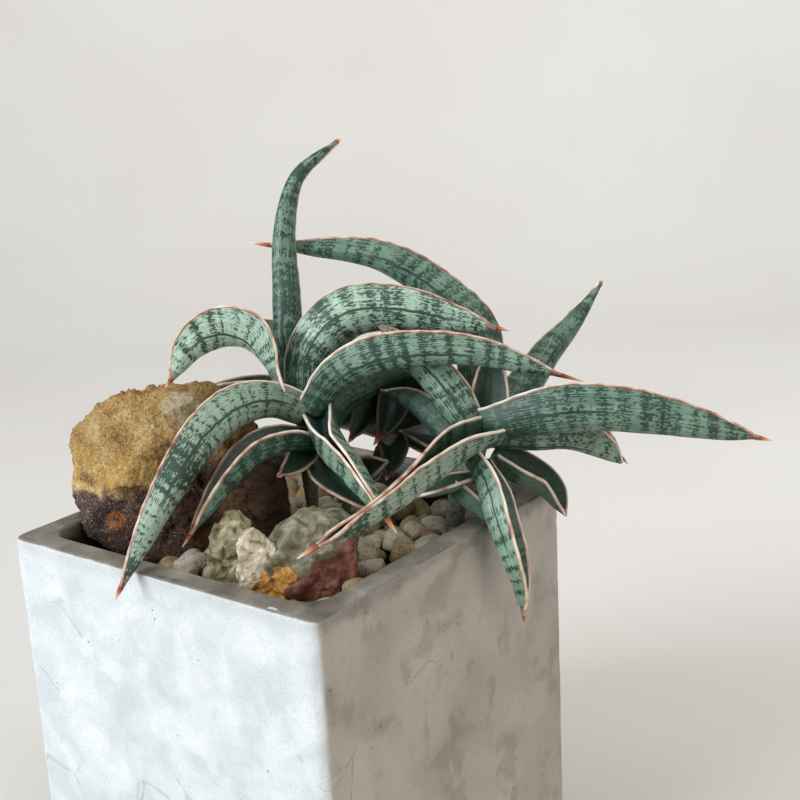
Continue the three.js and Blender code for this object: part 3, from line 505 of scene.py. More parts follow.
LEAVES = {
    "leaf_upright": dict(
        route=[[-7, 15, 150], [-13, 18, 165], [-18, 24, 183], [-22, 30, 201], [-20, 36, 217], [-10, 44, 227]],
        open=[[-0.3, 0.9, -0.2], [-0.6, 0.8, -0.3]], width=13.5, fold=[52, 70], thick=4, taper=2.4, spine=2,
        pale=0.5, bands=(4.0, 2.2, 1.0), rib=(0.0, 0.4), streaks=0.5, margin=0.3),
    "leaf_arch_front": dict(
        route=[[1, 11, 150], [10, 13, 161], [21, 17, 167], [34, 24, 169], [48, 32, 168], [68, 46, 160]],
        open=[[-0.8, 0, 0.4], [-0.4, 0.5, 0.8], [-0.4, 0.5, 0.8]],
        width=20, fold=[58, 60], thick=4.2, taper=3, spine=8,
        pale=0.62, bands=(4.6, 1.3, 1.0), rib=(0.2, 0.7), keel=-0.3, streaks=0.9),
    "leaf_front_left": dict(
        route=[[-1, 9, 149], [-6, 2, 153], [-9, -10, 154], [-8, -26, 150], [-6, -46, 137], [-5, -66, 118]],
        open=[[-0.5, 0.6, 0.5], [-0.8, 0.1, 0.15], [-0.8, -0.1, -0.1]],
        width=21, fold=[52, 50], thick=4.2, taper=2.2, spine=4,
        pale=0.86, bands=(4.6, 0.8, 0.95), rib=(0.05, 0.74), keel=0.32,
        blots=[(0.58, 0.09, 0.85), (0.95, 0.05, 0.9)], streaks=0.3, olive=0.35),
    "leaf_arch_left": dict(
        route=[[-4, 10, 152], [-10, 12, 165], [-18, 8, 173], [-25, 1, 174], [-28, -8, 171], [-30, -17, 162]],
        open=[[0.9, 0, 0.6], [0.5, 0.1, 0.9], [-0.2, 0.35, 0.9], [-0.85, 0.2, 0.45], [-1, -0.1, -0.1]],
        width=30, fold=[55, 50], thick=4, taper=2.6, spine=3,
        pale=1.0, bands=(4.0, 1.1, 1.05), rib=(0.1, 0.85), keel=0.3, streaks=0.4),
    "leaf_arch_top": dict(
        route=[[-3, 13, 152], [-2, 17, 165], [7, 25, 176], [21, 34, 177], [35, 41, 174], [46, 46, 172]],
        open=[[-0.8, 0.2, -0.1], [-0.5, 0.8, 0.4], [-0.5, 0.7, 0.5]],
        width=24, fold=[50, 55], thick=4.4, taper=3.4, spine=5,
        pale=0.92, bands=(5.4, 2.4, 0.95), rib=(0.15, 0.85), keel=-0.3, streaks=0.6),
    "leaf_drooping_left": dict(
        route=[[3, 8, 141], [1, -2, 144], [-1, -15, 143], [-1, -26, 138], [-1, -35, 132], [-2, -41, 126]],
        open=[[0.1, -0.1, 1], [-0.3, -0.5, 0.8], [-0.4, -0.8, 0.2]],
        width=18, fold=[60, 72], thick=3.6, taper=2.4, spine=5,
        pale=0.5, bands=(5.0, 2.6, 0.8), rib=(0.2, 0.55), keel=0.25, blots=[(0.5, 0.3, 0.4)], streaks=0.4),
    "leaf_small_left": dict(
        route=[[-7, 13, 153], [-17, 11, 155], [-27, 6, 155], [-35, 0, 154]],
        open=[[0, 0, 1]], width=12, fold=[55, 60], thick=3, taper=2.2, spine=3,
        pale=0.6, bands=(4.0, 1.6, 0.9), streaks=0.3, margin=0.3),
    "leaf_folded_front": dict(
        route=[[4, 11, 148], [13, 4, 143], [24, 0, 138], [33, -3, 132], [40, -5, 127]],
        open=[[0.2, -0.6, 0.8]], width=24, fold=[68, 104, 108, 108], thick=4, taper=2.8, spine=7,
        pale=0.8, bands=(3.8, 1.3, 1.1), olive=0.35, margin=0.5),
    "leaf_bract": dict(
        route=[[1, 9, 139], [3, 0, 136], [3, -8, 134]],
        open=[[0.6, -0.8, 0.3]], width=11, fold=[35, 30], thick=2, taper=1.8, spine=1,
        pale=0.2, bands=(5.0, 1.0, 0.2), painted_shade=0.3),
    "leaf_low_dark": dict(
        route=[[3, 11, 134], [12, 5, 132], [22, 2, 129], [31, 1, 125]],
        open=[[0.4, -0.5, 0.7]], width=14, fold=[35, 40], thick=3, taper=2.4, spine=2,
        pale=0.25, bands=(5.0, 2.0, 0.5), painted_shade=0.3),
    "leaf_over_stones": dict(
        route=[[53, 33, 144], [51, 17, 144], [49, 3, 140], [48, -12, 136], [46, -26, 133], [43, -37, 130]],
        open=[[0.4, -0.2, 0.9]],
        width=23, fold=[72, 90, 106, 108, 108], thick=4, taper=2.4, spine=8,
        pale=0.85, bands=(5.0, 1.2, 0.95), rib=(0.9, 0.95), blots=[(0.88, 0.1, 0.7)],
        streaks=0.4, olive=0.75),
    "leaf_long_right": dict(
        route=[[50, 34, 144], [63, 39, 148], [75, 44, 150], [87, 49, 150], [99, 55, 148], [121, 68, 142]],
        open=[[-0.4, 0.6, 0.6]], width=25, fold=[50, 55], thick=4.4, taper=2.8, spine=5,
        pale=0.52, bands=(4.6, 2.3, 1.0), rib=(0.1, 0.5), keel=-0.35, streaks=0.5),
    "leaf_over_rim": dict(
        route=[[51, 27, 137], [60, 21, 132], [68, 14, 125], [73, 12, 115], [74, 14, 105], [73, 16, 96]],
        open=[[0.3, 0.5, 0.6], [0.9, 0.3, 0.2], [0.9, 0.3, 0.2]],
        width=19, fold=[58, 70], thick=3.8, taper=2.4, spine=5,
        pale=0.7, bands=(4.0, 0.9, 1.3), rib=(0.1, 0.6), keel=-0.62, streaks=0.1, margin=0.35),
    "leaf_right_corner": dict(
        route=[[52, 35, 136], [58, 39, 131], [65, 43, 126], [72, 42, 118]],
        open=[[0.5, 0.2, 0.7]], width=20, fold=[52, 50], thick=3.4, taper=3, spine=1,
        pale=0.4, bands=(5.0, 2.0, 0.5), olive=0.3, margin=0.4, painted_shade=0.25),
    "leaf_under_right": dict(
        route=[[50, 35, 141], [59, 43, 140], [70, 52, 139], [77, 57, 135], [82, 59, 131]],
        open=[[-0.4, 0.6, 0.6]], width=15, fold=[45, 50], thick=3.6, taper=6, spine=0.5,
        pale=0.6, bands=(4.5, 2.2, 0.9), streaks=0.4, olive=0.4, margin=0.4),
    "leaf_under_rim": dict(
        route=[[46, 22, 128], [54, 19, 126], [61, 19, 122], [65, 19, 116]],
        open=[[0.3, 0.7, 0.6]], width=11, fold=[45, 50], thick=3, taper=2.4, spine=1,
        pale=0.5, bands=(5.0, 1.5, 0.3), margin=0.4, painted_shade=0.2),
    "leaf_torn": dict(
        route=[[51, 27, 131], [48, 17, 131], [43, 6, 130]],
        open=[[0, 0, 1]], width=10, fold=[50, 30], thick=2, taper=5, spine=0.5,
        pale=0.5, bands=(5.0, 1.5, 0.4), olive=0.4, margin=0.4),
    "leaf_back_arch": dict(
        route=[[45, 37, 144], [40, 47, 157], [34, 53, 167], [21, 54, 178], [3, 48, 190], [-29, 32, 195]],
        open=[[-0.6, 0.8, -0.3], [-0.5, 0.7, 0.5], [-0.5, 0.7, 0.5]],
        width=20, fold=[40, 55], thick=4, taper=2.6, spine=8,
        pale=0.5, bands=(4.4, 1.8, 0.95), rib=(0.2, 0.7), keel=0.25, streaks=0.4),
    "leaf_inner_upright": dict(
        route=[[49, 36, 142], [48, 39, 150], [47, 42, 159], [45, 44, 165]],
        open=[[0.5, -0.8, 0.3]], width=15, fold=[45, 50], thick=3, taper=3.4, spine=1,
        pale=0.5, bands=(4.0, 1.8, 0.7), streaks=0.5, margin=0.3, painted_shade=0.25),
    "leaf_back_right": dict(
        route=[[49, 38, 144], [51, 57, 153], [52, 68, 160], [55, 79, 168], [58, 90, 178]],
        open=[[-0.7, 0.4, -0.2]], width=16, fold=[45, 50], thick=3.6, taper=1.8, spine=2,
        pale=0.45, bands=(4.4, 2.4, 1.0), rib=(0.2, 0.6), streaks=0.3, margin=0.3),
    "leaf_inner_broad": dict(
        route=[[47, 34, 141], [41, 33, 148], [35, 32, 156], [27, 30, 164], [17, 27, 174]],
        open=[[-0.1, 0.8, 0.2]], width=18, fold=[45, 50], thick=3.6, taper=3, spine=3,
        pale=0.7, bands=(4.6, 1.6, 0.95), rib=(0.1, 0.8), keel=0.3, streaks=0.4),
    "leaf_inner_dark": dict(
        route=[[42, 30, 138], [32, 32, 145], [22, 34, 149], [13, 33, 151]],
        open=[[-0.1, 0.8, 0.4]], width=15, fold=[45, 50], thick=3.2, taper=2.6, spine=2,
        pale=0.35, bands=(4.5, 2.0, 0.7), streaks=0.4, margin=0.4, painted_shade=0.35),
    "leaf_middle_small": dict(
        route=[[10, 43, 149], [12, 37, 144], [13, 31, 139], [13, 28, 137]],
        open=[[0.6, -0.7, 0.4]], width=14, fold=[45, 50], taper=2.2, spine=3, pale=0.2, painted_shade=0.7, **IN_SHADE),
    "leaf_middle_left": dict(
        route=[[5, 42, 149], [4, 35, 143], [3, 27, 136]],
        open=[[0.4, -0.8, 0.3]], width=11, fold=[30, 30], taper=2.4, spine=2, pale=0.25, painted_shade=0.65,
        **IN_SHADE),
    "leaf_middle_low": dict(
        route=[[13, 36, 136], [17, 30, 132], [19, 24, 127]],
        open=[[0.6, -0.7, 0.4]], width=11, fold=[35, 40], taper=2.4, spine=2,
        pale=0.2, painted_shade=0.75, **IN_SHADE),
    "leaf_middle_right": dict(
        route=[[37, 33, 136], [27, 36, 137], [18, 35, 138]],
        open=[[0.2, -0.4, 0.9]], width=13, fold=[45, 50], thick=3, taper=2.6, spine=2,
        pale=0.3, bands=(4.5, 1.8, 0.5), painted_shade=0.6),
    "leaf_middle_rear": dict(
        route=[[44, 37, 137], [33, 45, 138], [21, 50, 139], [8, 50, 140], [-4, 44, 138], [-11, 38, 135]],
        open=[[0.4, -0.8, 0.3]], width=28, fold=[30, 35], thick=3, taper=4, spine=2,
        pale=0.5, bands=(4.6, 1.8, 0.95), streaks=0.3, painted_shade=0.8, back_painted_shade=0.0),
    "leaf_middle_back": dict(
        route=[[2, 17, 144], [2, 26, 150], [6, 37, 153], [14, 49, 154]],
        open=[[-0.5, 0.7, 0.5]], width=23, fold=[45, 50], thick=3.2, taper=3, spine=3,
        pale=0.32, bands=(5.0, 2.0, 0.6), streaks=0.3, painted_shade=0.3),
    "leaf_middle_front": dict(
        route=[[9, 27, 125], [15, 20, 130], [22, 20, 133]],
        open=[[0.6, -0.7, 0.4]], width=11, fold=[30, 40], thick=2.4, taper=2.4, spine=1,
        pale=0.32, bands=(4.5, 1.8, 0.5), olive=0.3, painted_shade=0.3),
    "leaf_rear_left": dict(
        route=[[-4, 17, 150], [-16, 27, 158], [-30, 38, 158], [-43, 49, 148], [-53, 58, 134]],
        open=[[0.4, -0.3, 1], [-0.3, 0.3, 1]], width=18, **REAR),
    "leaf_rear_middle": dict(
        route=[[46, 37, 143], [42, 52, 151], [36, 66, 148], [31, 76, 136]],
        open=[[0, -0.6, 0.8], [0, 0.3, 1]], width=17, **REAR),
    "leaf_rear_right": dict(
        route=[[50, 39, 140], [60, 52, 144], [68, 66, 138], [72, 77, 126]],
        open=[[-0.3, -0.3, 1], [0.3, 0.3, 1]], width=17, **REAR),
}

# Stems: each entry is a point and a radius
STEMS = {
    "stem_left": [
        [-7, 17, 100, 1.9], [-6, 16, 118, 2], [-3, 13, 134, 3], [-2, 12, 146, 4.2], [-2, 13, 154, 2.4]],
    "stem_middle": [[-1, 24, 100, 1.6], [2, 25, 116, 1.7], [9, 30, 126, 2.4], [14, 33, 138, 2.8]],
    "stem_right": [[38, 31, 100, 3], [40, 31, 118, 3.2], [45, 33, 134, 4.4], [48, 35, 146, 3.2]],
}
STEM_SCAR_PITCH = 4.5


def stem_bark():
    """Old sansevieria stem: dull grey-green bark, slightly ringed where leaves sat, with small pits."""
    material, put, wire = new_finish("stem_dry_bark", Roughness=0.75)
    place = put("TexCoord", out="Object")
    fine = put("TexNoise", {"Vector": place, "Scale": 900.0, "Detail": 4.0})
    broad = put("TexNoise", {"Vector": place, "Scale": 200.0, "Detail": 3.0})
    body = put("ValToRGB", broad, stops=[(0.3, "#3F4638"), (0.55, "#666F5C"), (0.75, "#85896F")])
    pits = put("ValToRGB", fine, stops=[(0.35, "#33352A"), (0.6, "#9A9A84")])
    bump = put("Bump", {"Height": fine, "Strength": 0.6, "Distance": 0.3 * MM})
    wire(Base_Color=put("Mix", 0.35, body, pits), Normal=bump)
    return material


def make_stem(name, points):
    around = STEM_SIDES
    points = np.array(points, float)
    centres, along, _ = even_route(points[:, :3], STEM_PITCH)
    count = len(centres)
    knots = np.linspace(0, 1, len(points))
    radii = np.interp(np.linspace(0, 1, count), knots, points[:, 3])
    side = unit(np.cross([0, 1, 0], along))
    front = np.cross(along, side)
    rings = []
    for i in range(count):
        scar = 0.05 * math.exp(-(((i * STEM_PITCH) % STEM_SCAR_PITCH) / 0.5) ** 2)
        for k in range(around):
            turn = 2 * math.pi * k / around
            out = math.cos(turn) * side[i] + math.sin(turn) * front[i]
            spot = Vector(centres[i] + out * radii[i])
            rough = 0.3 * noise.noise(spot * 0.7) + 0.14 * noise.noise(spot * 2.4) - 0.15
            rings.append(centres[i] + out * (radii[i] + rough + scar - 0.1))
    return mesh_object(name + "_bark", rings, tube_faces(count, around), [name])


# Rock and stones: a ball cut back by flat faces, as in the CAD model, then weathered
ROCK = dict(
    centre=[-29, -14, 131], seed=1.3, finer=7, worn=(0.9, 0.45, 0.28, 0.6), facet=10,
    cuts=[
        [217, 0, 40], [180, -28, 25.4], [200, -42, 29], [240, 30, 41], [190, 40, 40], [308, -5, 12],
        [318, 35, 18], [270, 25, 21], [335, -8, 22], [30, 5, 31], [340, 45, 20], [45, 35, 24], [60, 0, 27],
        [128, 0, 16], [140, 40, 23], [80, 40, 26], [0, 90, 29], [240, 65, 32], [0, -90, 27],
    ],
)
STONES = {
    "stone_front_left": dict(
        centre=[3, -31, 117], seed=2.1, finer=6, worn=(0.4, 0.3, 0.2, 0.6), facet=5,
        cuts=[
            [217, 0, 6], [37, 5, 7], [308, 10, 6], [128, 5, 6], [0, 90, 12], [217, 45, 9], [37, 40, 10],
            [0, -90, 11], [270, 50, 9],
        ],
    ),
    "stone_front_middle": dict(
        centre=[21, -37, 115], seed=3.4, finer=6, worn=(0.4, 0.3, 0.2, 0.55), facet=4.5,
        cuts=[
            [217, 0, 7], [37, 0, 10], [308, 15, 6], [128, 10, 6], [0, 90, 15.5], [37, 45, 9.5], [217, 50, 13],
            [0, -90, 10],
        ],
    ),
    "stone_front_right": dict(
        centre=[31, -21, 118], seed=4.7, finer=6, worn=(0.5, 0.3, 0.12, 0.4), facet=8,
        cuts=[
            [217, 0, 17], [37, 0, 9], [308, 5, 12], [128, 5, 12], [0, 90, 14], [37, 40, 12], [217, 42, 15],
            [308, 45, 14], [128, 45, 13], [0, -90, 11.7], [350, 10, 15],
        ],
    ),
}


def ball(subdivisions):
    """Directions and triangles of an evenly divided ball."""
    shape = bmesh.new()
    bmesh.ops.create_icosphere(shape, subdivisions=subdivisions, radius=1)
    directions = unit(np.array([v.co for v in shape.verts]))
    faces = [tuple(v.index for v in f.verts) for f in shape.faces]
    shape.free()
    return directions, faces


def cut_normals(cuts):
    heading, tilt = np.radians([c[0] for c in cuts]), np.radians([c[1] for c in cuts])
    return np.stack([np.cos(heading) * np.cos(tilt), np.sin(heading) * np.cos(tilt), np.sin(tilt)], 1)


def facet_height(spot, size):
    """Height of flat broken faces of about this size that meet in steps and sharp edges."""
    scaled = spot / size
    cell = noise.voronoi(scaled)[1][0]
    return (scaled - cell).dot(noise.noise_vector(cell * 5.3)) * size


def make_stone(name, stone, nodes):
    directions, faces = ball(stone["finer"])
    normals = cut_normals(stone["cuts"])
    distances = np.array([c[2] for c in stone["cuts"]], float)
    seed = Vector((stone["seed"] * 7, stone["seed"] * 3, stone["seed"]))
    lumps, chips, grit, broken = stone["worn"]
    size = stone["facet"]
    bent = np.array([noise.noise_vector(Vector(d) * 2.2 + seed) for d in directions])
    facing = unit(directions + 0.09 * bent)
    reach = distances / np.maximum(facing @ normals.T, 0.05)
    radius = (reach**-40.0).sum(1) ** (-1 / 40.0)
    points = np.array(stone["centre"]) + directions * radius[:, None]
    moved = []
    for point in points:
        spot = Vector(point)
        lump = noise.fractal(spot / 11 + seed, 0.9, 2.1, 3)
        chip = noise.ridged_multi_fractal(spot / 4.5 + seed, 1.0, 2.2, 3, 1.0, 2.0) - 1.2
        grain = noise.turbulence(spot / 1.3 + seed, 3, False) - 0.6
        faceted = facet_height(spot + seed, size) + 0.6 * facet_height(spot * 1.07 + seed, size * 0.42)
        moved.append(lumps * lump + chips * chip * 0.6 + grit * grain + broken * faceted)
    points = points + directions * (np.array(moved) - 0.3)[:, None]
    return mesh_object(name, points, faces, nodes)


def ironstone():
    """Weathered ironstone: ochre and tan crystalline crust above, a yellow crystalline band, a
    purple-brown iron-rich foot on the front left, a pale broken face, and a rusty brown right side that is
    darkened much further as painted shade under the leaves. Gritty and dull, with small sparkling pale
    grains."""
    material, put, wire = new_finish("ironstone_weathered", IOR=1.5)
    spot = in_mm(put)
    x, y, z = put("SeparateXYZ", spot).node.outputs
    broad = put("TexNoise", {"Vector": spot, "Scale": 1 / 9, "Detail": 5, "Distortion": 0.6})
    fine = put("TexNoise", {"Vector": spot, "Scale": 1 / 1.6, "Detail": 5, "Roughness": 0.7})
    grains = put("TexNoise", {"Vector": spot, "Scale": 1 / 0.55, "Detail": 2})
    mixed = put("ADD", put("MULTIPLY", broad, 0.55), put("MULTIPLY", fine, 0.45))
    drift = put("SUBTRACT", broad, 0.5)
    crust = put("ValToRGB", mixed, stops=[
        (0.34, "#4A3215"), (0.43, "#7E5B28"), (0.52, "#9C7A42"), (0.62, "#B59A66"), (0.72, "#CDBD93")])
    foot = put("ValToRGB", mixed, stops=[
        (0.36, "#20161A"), (0.5, "#43302F"), (0.62, "#6B4E3E"), (0.74, "#A98250")])
    # Rusty brown darkened towards black: part rust, part painted shade
    rust_and_shade = put("ValToRGB", mixed, stops=[
        (0.34, "#160D07"), (0.5, "#392410"), (0.64, "#5C3C1C"), (0.76, "#85602C")])
    band = put("ValToRGB", mixed, stops=[
        (0.36, "#8C6428"), (0.5, "#B8934C"), (0.64, "#D5BF85"), (0.76, "#E4D8B4")])
    pale = put("ValToRGB", mixed, stops=[(0.38, "#9A8A68"), (0.55, "#BDB194"), (0.7, "#D3CAB4")])
    level = put("ADD", z, put("MULTIPLY", drift, 20))
    side = put("ADD", x, put("MULTIPLY", drift, 16))
    in_band = put("MULTIPLY", put("MapRange", level, 129, 132), put("MapRange", level, 139, 143, 1.0, 0.0))
    colour = put("Mix", put("MULTIPLY", in_band, 0.75), crust, band)
    colour = put("Mix", put("MapRange", level, 128, 133, 1.0, 0.0), colour, foot)
    # Right side: rusty brown, and darkened much further as painted shade under the leaves
    right = put("MULTIPLY", put("MapRange", side, -30, -20), put("MapRange", z, 136, 148, 1.0, 0.0))
    colour = put("Mix", right, colour, rust_and_shade)
    off_face = put("VectorMath", spot, (-25.5, -17.7, 154.8), operation="DISTANCE", out=1)
    ragged = put("MULTIPLY_ADD", put("SUBTRACT", fine, 0.5), 9, put("MULTIPLY", drift, 22))
    off_face = put("ADD", off_face, ragged)
    colour = put("Mix", put("MapRange", off_face, 5.0, 7.5, 0.85, 0.0), colour, pale)
    # Pale sparkling grains and dark pits, with fewer pale grains on the right side, which is in painted shade
    grain_share = put("MULTIPLY", put("MapRange", grains, 0.58, 0.68), put("SUBTRACT", 0.8, right))
    colour = put("Mix", put("MULTIPLY", grain_share, 0.5), colour, linear("#DCCB9C"))
    colour = put("Mix", put("MapRange", grains, 0.3, 0.42, 0.8, 0.0), colour, linear("#2C1D12"))
    # Broken orange ring where iron has seeped out, low on the front left face
    off_stain = put("VectorMath", spot, (-39.8, -36.4, 120.9), operation="DISTANCE", out=1)
    off_stain = put("ADD", off_stain, put("MULTIPLY", put("SUBTRACT", fine, 0.5), 5.0))
    ring = put("MapRange", put("ABSOLUTE", put("SUBTRACT", off_stain, 2.0)), 0.5, 1.5, 0.85, 0.0)
    ring = put("MULTIPLY", ring, put("MapRange", grains, 0.42, 0.56, 0.15, 1.0))
    colour = put("Mix", ring, colour, linear("#B8701F"))
    relief = put("ADD", put("MULTIPLY", fine, 0.6), put("MULTIPLY", grains, 0.4))
    bump = put("Bump", {"Height": relief, "Strength": 0.8, "Distance": 0.6 * MM})
    wire(Base_Color=colour, Roughness=put("MapRange", grains, 0.4, 0.7, 0.9, 0.55), Normal=bump)
    return material


def field_stone(name, body, stained, stain_side, stain_reach):
    """Small weathered field stone: mottled body, and a stained part on one side. Dull, a little glassy
    where quartz shows."""
    material, put, wire = new_finish(name, IOR=1.5)
    spot = in_mm(put)
    broad = put("TexNoise", {"Vector": spot, "Scale": 1 / 5, "Detail": 5, "Distortion": 1.2})
    fine = put("TexNoise", {"Vector": spot, "Scale": 1.0, "Detail": 4, "Roughness": 0.7})
    ground = put("ValToRGB", broad, stops=body)
    patch = put("ValToRGB", broad, stops=stained)
    along = put("VectorMath", spot, stain_side, operation="DOT_PRODUCT", out=1)
    wander = put("MULTIPLY_ADD", broad, 12.0, along)
    colour = put("Mix", put("MapRange", wander, stain_reach, stain_reach + 2.0), ground, patch)
    colour = put("Mix", put("MapRange", fine, 0.3, 0.44, 0.75, 0.0), colour, linear("#2F2A20"))
    bump = put("Bump", {"Height": fine, "Strength": 0.6, "Distance": 0.4 * MM})
    wire(Base_Color=colour, Roughness=put("MapRange", broad, 0.35, 0.65, 0.75, 0.4), Normal=bump)
    return material


# Pebbles and soil


def gravel_height(x, y):
    return GRAVEL_LEVEL + GRAVEL_SLOPE * x + 0.6 * np.sin(x / 17) * np.cos(y / 19)


def packed_places(rng, radii, half):
    """Places for discs of these radii, pushed apart until they lie side by side in the pot's pocket."""
    places = rng.uniform(-half, half, (len(radii), 2))
    limit = (half - radii)[:, None]
    sums = radii[:, None] + radii[None, :]
    for _ in range(PACKING_ROUNDS):
        apart = places[:, None, :] - places[None, :, :]
        distance = np.linalg.norm(apart, axis=2) + np.eye(len(radii)) * 1000
        overlap = np.maximum(sums - distance, 0) * PACKING_PUSH
        places = places + (apart / distance[:, :, None] * overlap[:, :, None]).sum(1)
        places = np.clip(places, -limit, limit)
    return places


def pebble_shape(rng, directions, faces_count=8):
    """Reach of a water-worn pebble in each direction: a block with rounded edges."""
    normals = unit(rng.normal(size=(faces_count, 3)))
    distances = rng.uniform(0.78, 1.05, faces_count)
    reach = np.maximum(directions @ normals.T, 0.02) / distances
    return 1 / ((reach**9).sum(1) + 0.72**9) ** (1 / 9)


def inside_stone(stone, point, margin):
    normals = cut_normals(stone["cuts"])
    distances = np.array([c[2] for c in stone["cuts"]], float)
    offset = normals @ (np.array(point) - np.array(stone["centre"]))
    return bool((offset < distances - margin).all())


# Between the rock and the front left wall the upper pebbles are missing
HOLLOW = (-6, -30)
# Pebbles that stand out: a dark purple and two orange-brown ones
ODD_PEBBLES = {(30, 36): 1.0, (42, 31): 0.96}


def make_pebbles(name, count, sizes, sink, seed):
    rng = np.random.default_rng(seed)
    low, high = sizes
    radii = low + (high - low) * rng.beta(1.6, 2.2, count)
    places = packed_places(rng, radii * 0.93, POCKET_HALF - GAP)
    directions, ball_faces = ball(3)
    all_points = []
    all_faces = []
    tints = []
    for radius, (x, y) in zip(radii, places):
        z = float(gravel_height(x, y)) + sink + rng.uniform(-0.8, 0.8)
        shape = pebble_shape(rng, directions)[:, None] * directions
        stretch = radius * np.array([rng.uniform(1.0, 1.22), rng.uniform(0.86, 1.0), rng.uniform(0.66, 0.86)])
        turn = Matrix.Rotation(rng.uniform(0, 6.28), 3, "Z") @ Matrix.Rotation(rng.uniform(-0.5, 0.5), 3, "X")
        tint = rng.uniform(0, 0.97)
        if any(inside_stone(stone, (x, y, z), 0.5) for stone in [ROCK, *STONES.values()]):
            continue
        if sink > 0 and x < HOLLOW[0] and y < HOLLOW[1] and tint > 0.12:
            continue
        for (odd_x, odd_y), odd_tint in ODD_PEBBLES.items():
            if sink > 0 and math.hypot(x - odd_x, y - odd_y) < radius:
                tint = odd_tint
        first = len(all_points) * len(directions)
        points = (shape * stretch) @ np.array(turn).T + [x, y, z]
        edge = POCKET_HALF - 0.2
        points[:, :2] = np.clip(points[:, :2], -edge, edge)
        all_points.append(points)
        all_faces.extend(tuple(first + k for k in face) for face in ball_faces)
        tints.append(np.full(len(directions), tint))
    attributes = {"pebble_tint": np.concatenate(tints)}
    return mesh_object(name, np.concatenate(all_points), all_faces, ["gravel"], attributes)


def washed_pebbles():
    """River pebbles of quartz and limestone: water-worn, dull, cream to ochre, each a little unlike its
    neighbour, with earth in their pits."""
    material, put, wire = new_finish("river_pebbles_washed", Roughness=0.62)
    place = put("TexCoord", out="Object")
    tint = put("Attribute", attribute_name="pebble_tint", out="Fac")
    broad = put("TexNoise", {"Vector": place, "Scale": 260.0, "Detail": 4.0})
    fine = put("TexNoise", {"Vector": place, "Scale": 1400.0, "Detail": 3.0})
    own = put("ValToRGB", tint, stops=[
        (0.0, "#BDB49A"), (0.2, "#9A8358"), (0.4, "#CAC3B0"), (0.58, "#80683E"), (0.74, "#B09A68"),
        (0.88, "#857B6E"), (0.95, "#875228"), (0.99, "#2E2228")])
    own.node.color_ramp.interpolation = "CONSTANT"
    mottle = put("ValToRGB", broad, stops=[(0.35, "#6F6146"), (0.65, "#CFC6AD")])
    colour = put("Mix", 0.28, own, mottle)
    colour = put("Mix", put("MapRange", fine, 0.34, 0.48, 0.6, 0.0), colour, linear("#4A3B28"))
    bump = put("Bump", {"Height": fine, "Strength": 0.35, "Distance": 0.2 * MM})
    wire(Base_Color=colour, Normal=bump)
    return material


def make_soil():
    steps = SOIL_STEPS
    half = POCKET_HALF - GAP
    spread = np.linspace(-half, half, steps)
    corner = POCKET_CORNER
    points = []
    for y in spread:
        for x in spread:
            px, py = x, y
            over_x, over_y = abs(x) - (half - corner), abs(y) - (half - corner)
            if over_x > 0 and over_y > 0:
                pull = corner / max(math.hypot(over_x, over_y), corner)
                px = math.copysign(half - corner + over_x * pull, x)
                py = math.copysign(half - corner + over_y * pull, y)
            spot = Vector((px, py, 0))
            crumbs = 0.9 * noise.turbulence(spot / 2.2, 4, False) + 1.6 * noise.noise(spot / 9)
            points.append((px, py, GRAVEL_LEVEL - GRAVEL_LAYER + GRAVEL_SLOPE * px + crumbs - 0.6))
    faces = []
    for j in range(steps - 1):
        for i in range(steps - 1):
            a = j * steps + i
            faces.append((a, a + 1, a + 1 + steps, a + steps))
    grid = np.arange(steps * steps).reshape(steps, steps)
    rim = [*grid[0], *grid[1:, -1], *grid[-1, -2::-1], *grid[-2:0:-1, 0]]
    rim = [int(k) for k in rim]
    first = len(points)
    points += [(points[k][0], points[k][1], POT_FLOOR + GAP) for k in rim]
    for k in range(len(rim)):
        after = (k + 1) % len(rim)
        faces.append((rim[after], rim[k], first + k, first + after))
    faces.append(tuple(first + k for k in reversed(range(len(rim)))))
    return mesh_object("soil_crumbs", points, faces, ["potting_soil"])


def potting_mix():
    """Peat and grit potting mix: dark brown, quite matt, with crumbs of 1 to 2 mm and paler grit."""
    material, put, wire = new_finish("peat_potting_mix", Roughness=0.95)
    place = put("TexCoord", out="Object")
    crumbs = put("TexNoise", {"Vector": place, "Scale": 700.0, "Detail": 5.0})
    colour = put("ValToRGB", crumbs, stops=[(0.3, "#120D09"), (0.55, "#2B2018"), (0.7, "#4A3A2A")])
    wire(Base_Color=colour, Normal=put("Bump", {"Height": crumbs, "Strength": 0.9, "Distance": 0.8 * MM}))
    return material


# Pot


def square_ring(half, corner, side_steps=72, corner_steps=8):
    """Points round a square with round corners, from the right side upwards, with the way out of each."""
    points = []
    outs = []
    for quarter in range(4):
        turn = quarter * math.pi / 2
        spin = np.array([[math.cos(turn), -math.sin(turn)], [math.sin(turn), math.cos(turn)]])
        reach = half - corner
        for i in range(side_steps):
            y = -reach + 2 * reach * i / side_steps
            points.append(spin @ [half, y])
            outs.append(spin @ [1, 0])
        for i in range(corner_steps):
            a = math.pi / 2 * i / corner_steps
            points.append(spin @ [reach + corner * math.cos(a), reach + corner * math.sin(a)])
            outs.append(spin @ [math.cos(a), math.sin(a)])
    return np.array(points), np.array(outs)


